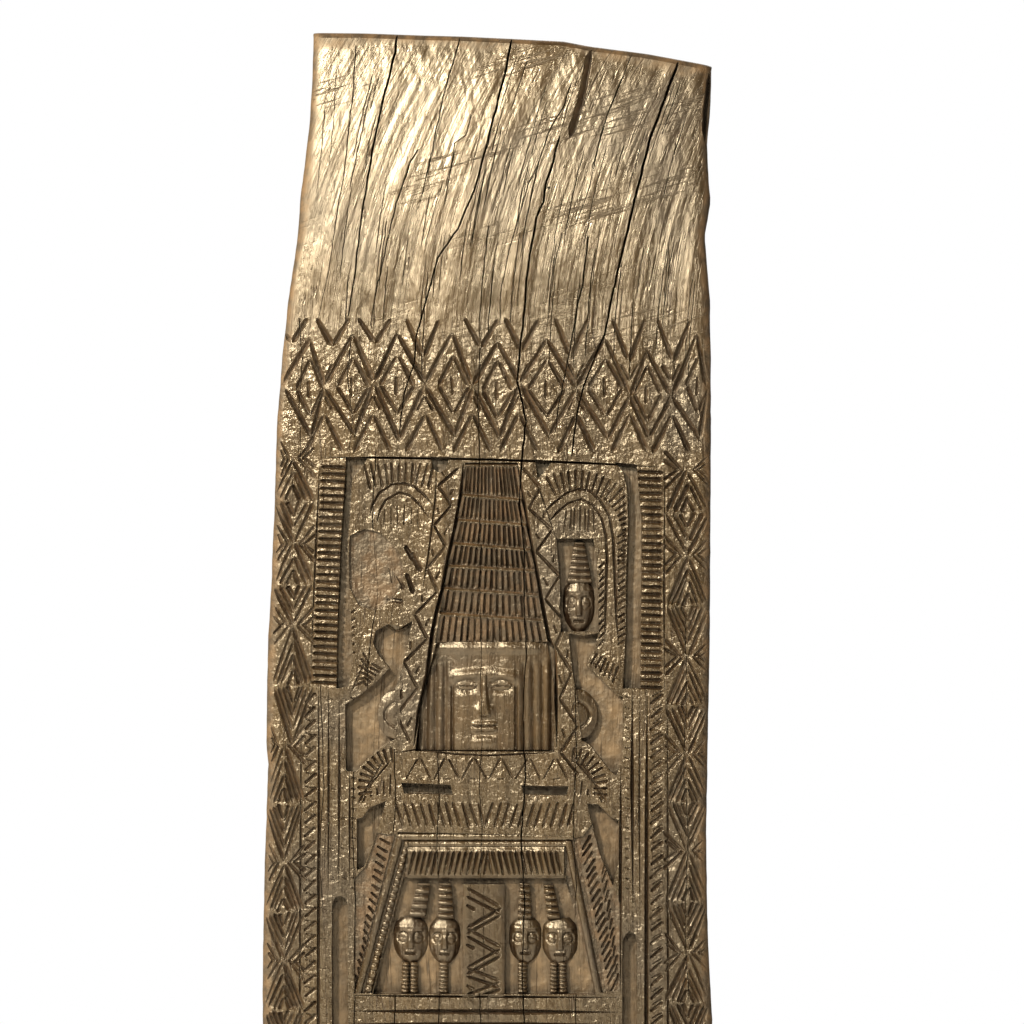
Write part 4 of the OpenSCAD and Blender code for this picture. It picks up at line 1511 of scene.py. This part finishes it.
PEG_WOOD = peg_wood()
PEG_ROWS = [(-5.7, 1.2), (-5.6, 2.6), (-4.6, 3.5), (2, 4.1), (8, 4.25), (14, 4.35), (19, 4.35), (22.9, 4.3),
            (23.5, 3.9), (23.85, 3.2), (23.9, 2.2), (23.92, 1.1), (23.92, 0.3)]
for number, (x, z, name) in enumerate(PEG_PLACES):
    rows = [round_row(x, y, z, radius, 24, 0.1 if y < 23 else 0.03, 3.3 + number) for y, radius in PEG_ROWS]
    peg = lofted(name.replace("batten", "peg") + "_%d" % (number % 3 + 1), rows)
    heart = peg.data.attributes.new("from_heart", 'FLOAT', 'POINT')
    for vertex, mark in zip(peg.data.vertices, heart.data):
        mark.value = math.hypot(vertex.co.x / MM - x, vertex.co.z / MM - z) / 4.4
    finish_piece(peg, name + "_pegs", PEG_WOOD, 20)


# --------
# The six split staples: hand-forged iron straps hammered flat over the splits, with both ends
# bent over and drawn to a point in the wood. The iron is black with old brown rust.
# --------
def forged_iron():
    material, tree, skin = new_skin("forged_iron")
    where = own_space(tree)
    broad = noise_at(tree, where, 150, 4, 0.6, 0.5)
    fine = noise_at(tree, where, 900, 3, 0.6)
    rust = step_up(tree, plus(tree, broad, times(tree, fine, 0.25)), 0.56, 0.72)
    scale = mixed(tree, fine, (0.02, 0.018, 0.017, 1), (0.075, 0.068, 0.062, 1))
    orange = mixed(tree, fine, (0.05, 0.018, 0.007, 1), (0.19, 0.075, 0.028, 1))
    feed(tree, skin["Base Color"], mixed(tree, rust, scale, orange))
    feed(tree, skin["Metallic"], less(tree, 0.85, times(tree, rust, 0.8)))
    feed(tree, skin["Roughness"], plus(tree, times(tree, rust, 0.35), 0.42))
    normal = raise_bump(tree, broad, 0.5, 0.0008)
    feed(tree, skin["Normal"], raise_bump(tree, fine, 0.35, 0.0003, normal))
    return material


IRON = forged_iron()
# half of the strap's middle line, from a leg's point to the middle: x, y, half thickness, half width
STRAP = [(-21, 4.3, 0.25, 0.6), (-21, 6.5, 0.9, 1.2), (-21, 10, 1.5, 1.7), (-21, 15.5, 1.8, 1.9),
         (-20.8, 17.3, 1.7, 2), (-20, 18.7, 1.45, 2.15), (-18.6, 19.2, 1.2, 2.3), (-16, 19.25, 1.15, 2.4),
         (-12, 19.25, 1.15, 2.4), (-8, 19.25, 1.15, 2.4), (-4, 19.25, 1.15, 2.4), (0, 19.25, 1.15, 2.35)]
strap = STRAP + [(-x, y, thick, wide) for x, y, thick, wide in reversed(STRAP[:-1])]
# the strap's section: an octagon, as (across, out) of its half sizes, beaten uneven on its outer side
OCTAGON = ((-1, -0.7), (-0.7, -1), (0.7, -1), (1, -0.7), (1, 0.7), (0.7, 1), (-0.7, 1), (-1, 0.7))
for node, sites in STAPLE_SITES.items():
    for number, site in enumerate(sites):
        rows = []
        for i, (x, y, thick, wide) in enumerate(strap):
            before, after = strap[max(i - 1, 0)], strap[min(i + 1, len(strap) - 1)]
            along = Vector((after[0] - before[0], after[1] - before[1])).normalized()
            beaten = 1 - 0.14 * ripple(x, 0, 4, site[0])
            row = []
            for a, b in OCTAGON:
                out = thick * b * (beaten if b > 0 else 1)
                row.append(turned(site, (x - along.y * out, y + along.x * out,
                                         wide * a * (1 - 0.12 * ripple(x, a, 5, site[1])))))
            rows.append(row)
        staple = lofted(node.replace("staples", "staple") + "_%d" % (number + 1), rows)
        finish_piece(staple, node, IRON, 40)

# --------
# The stage: a pale floor, a warm key and a rake from the upper left, a low lamp for the sheen, a
# weak cool fill and a broad rear lamp, under a white sky that hardly lights the wood.
# --------
bpy.ops.mesh.primitive_plane_add(size=4.4, location=(0, 0, 0))
ground = bpy.context.object
ground.name = "studio_floor"
pale, tree, skin = new_skin("pale_floor")
skin["Base Color"].default_value = (0.82, 0.81, 0.79, 1)
skin["Roughness"].default_value = 0.8
ground.data.materials.append(pale)

world = bpy.data.worlds.new("studio")
world.use_nodes = True
bpy.context.scene.world = world
air = world.node_tree
back = air.nodes["Background"]
# the camera sees plain white, the pieces only a faint warm light
seen = place(air, "ShaderNodeBackground")
seen.inputs["Color"].default_value = (1, 1, 1, 1)
seen.inputs["Strength"].default_value = 1.0
back.inputs["Color"].default_value = (1, 0.94, 0.85, 1)
back.inputs["Strength"].default_value = 0.025
pick = place(air, "ShaderNodeMixShader")
air.links.new(place(air, "ShaderNodeLightPath").outputs["Is Camera Ray"], pick.inputs[0])
air.links.new(back.outputs[0], pick.inputs[1])
air.links.new(seen.outputs[0], pick.inputs[2])
air.links.new(pick.outputs[0], air.nodes["World Output"].inputs[0])


def lamp(name, spot, aim, size, power, colour):
    light = bpy.data.lights.new(name, 'AREA')
    light.shape = 'RECTANGLE'
    light.size = size
    light.size_y = size
    light.energy = power
    light.color = colour
    holder = bpy.data.objects.new(name, light)
    bpy.context.collection.objects.link(holder)
    holder.location = spot
    holder.rotation_euler = (Vector(aim) - Vector(spot)).to_track_quat('-Z', 'Y').to_euler()


lamp("key", (-1.0, -1.9, 1.75), (0, 0, 0.66), 0.16, 96, (1, 0.87, 0.66))
lamp("rake", (-1.5, -0.8, 1.7), (0, 0, 0.7), 0.2, 70, (1, 0.88, 0.68))
lamp("sheen", (-0.33, -2.55, 1.45), (0, 0, 0.75), 0.3, 27, (1, 0.89, 0.7))
lamp("fill", (1.6, -1.8, 0.4), (0, 0, 0.6), 1.2, 2, (0.97, 0.98, 1))
lamp("rear", (0.6, 1.6, 1.5), (0, 0, 0.5), 1.2, 30, (1, 0.97, 0.93))

# the width of the view at the carved face, in metres
VIEW_WIDTH = 0.6125
eye = bpy.data.cameras.new("view")
eye.lens = 160
eye.sensor_width = 36
viewer = bpy.data.objects.new("view", eye)
bpy.context.collection.objects.link(viewer)
distance = VIEW_WIDTH * eye.lens / eye.sensor_width
viewer.location = (0.0144, FRONT * MM - distance, 0.6638)
viewer.rotation_euler = (math.pi / 2, 0, 0)
bpy.context.scene.camera = viewer
bpy.context.scene.view_settings.view_transform = 'Standard'
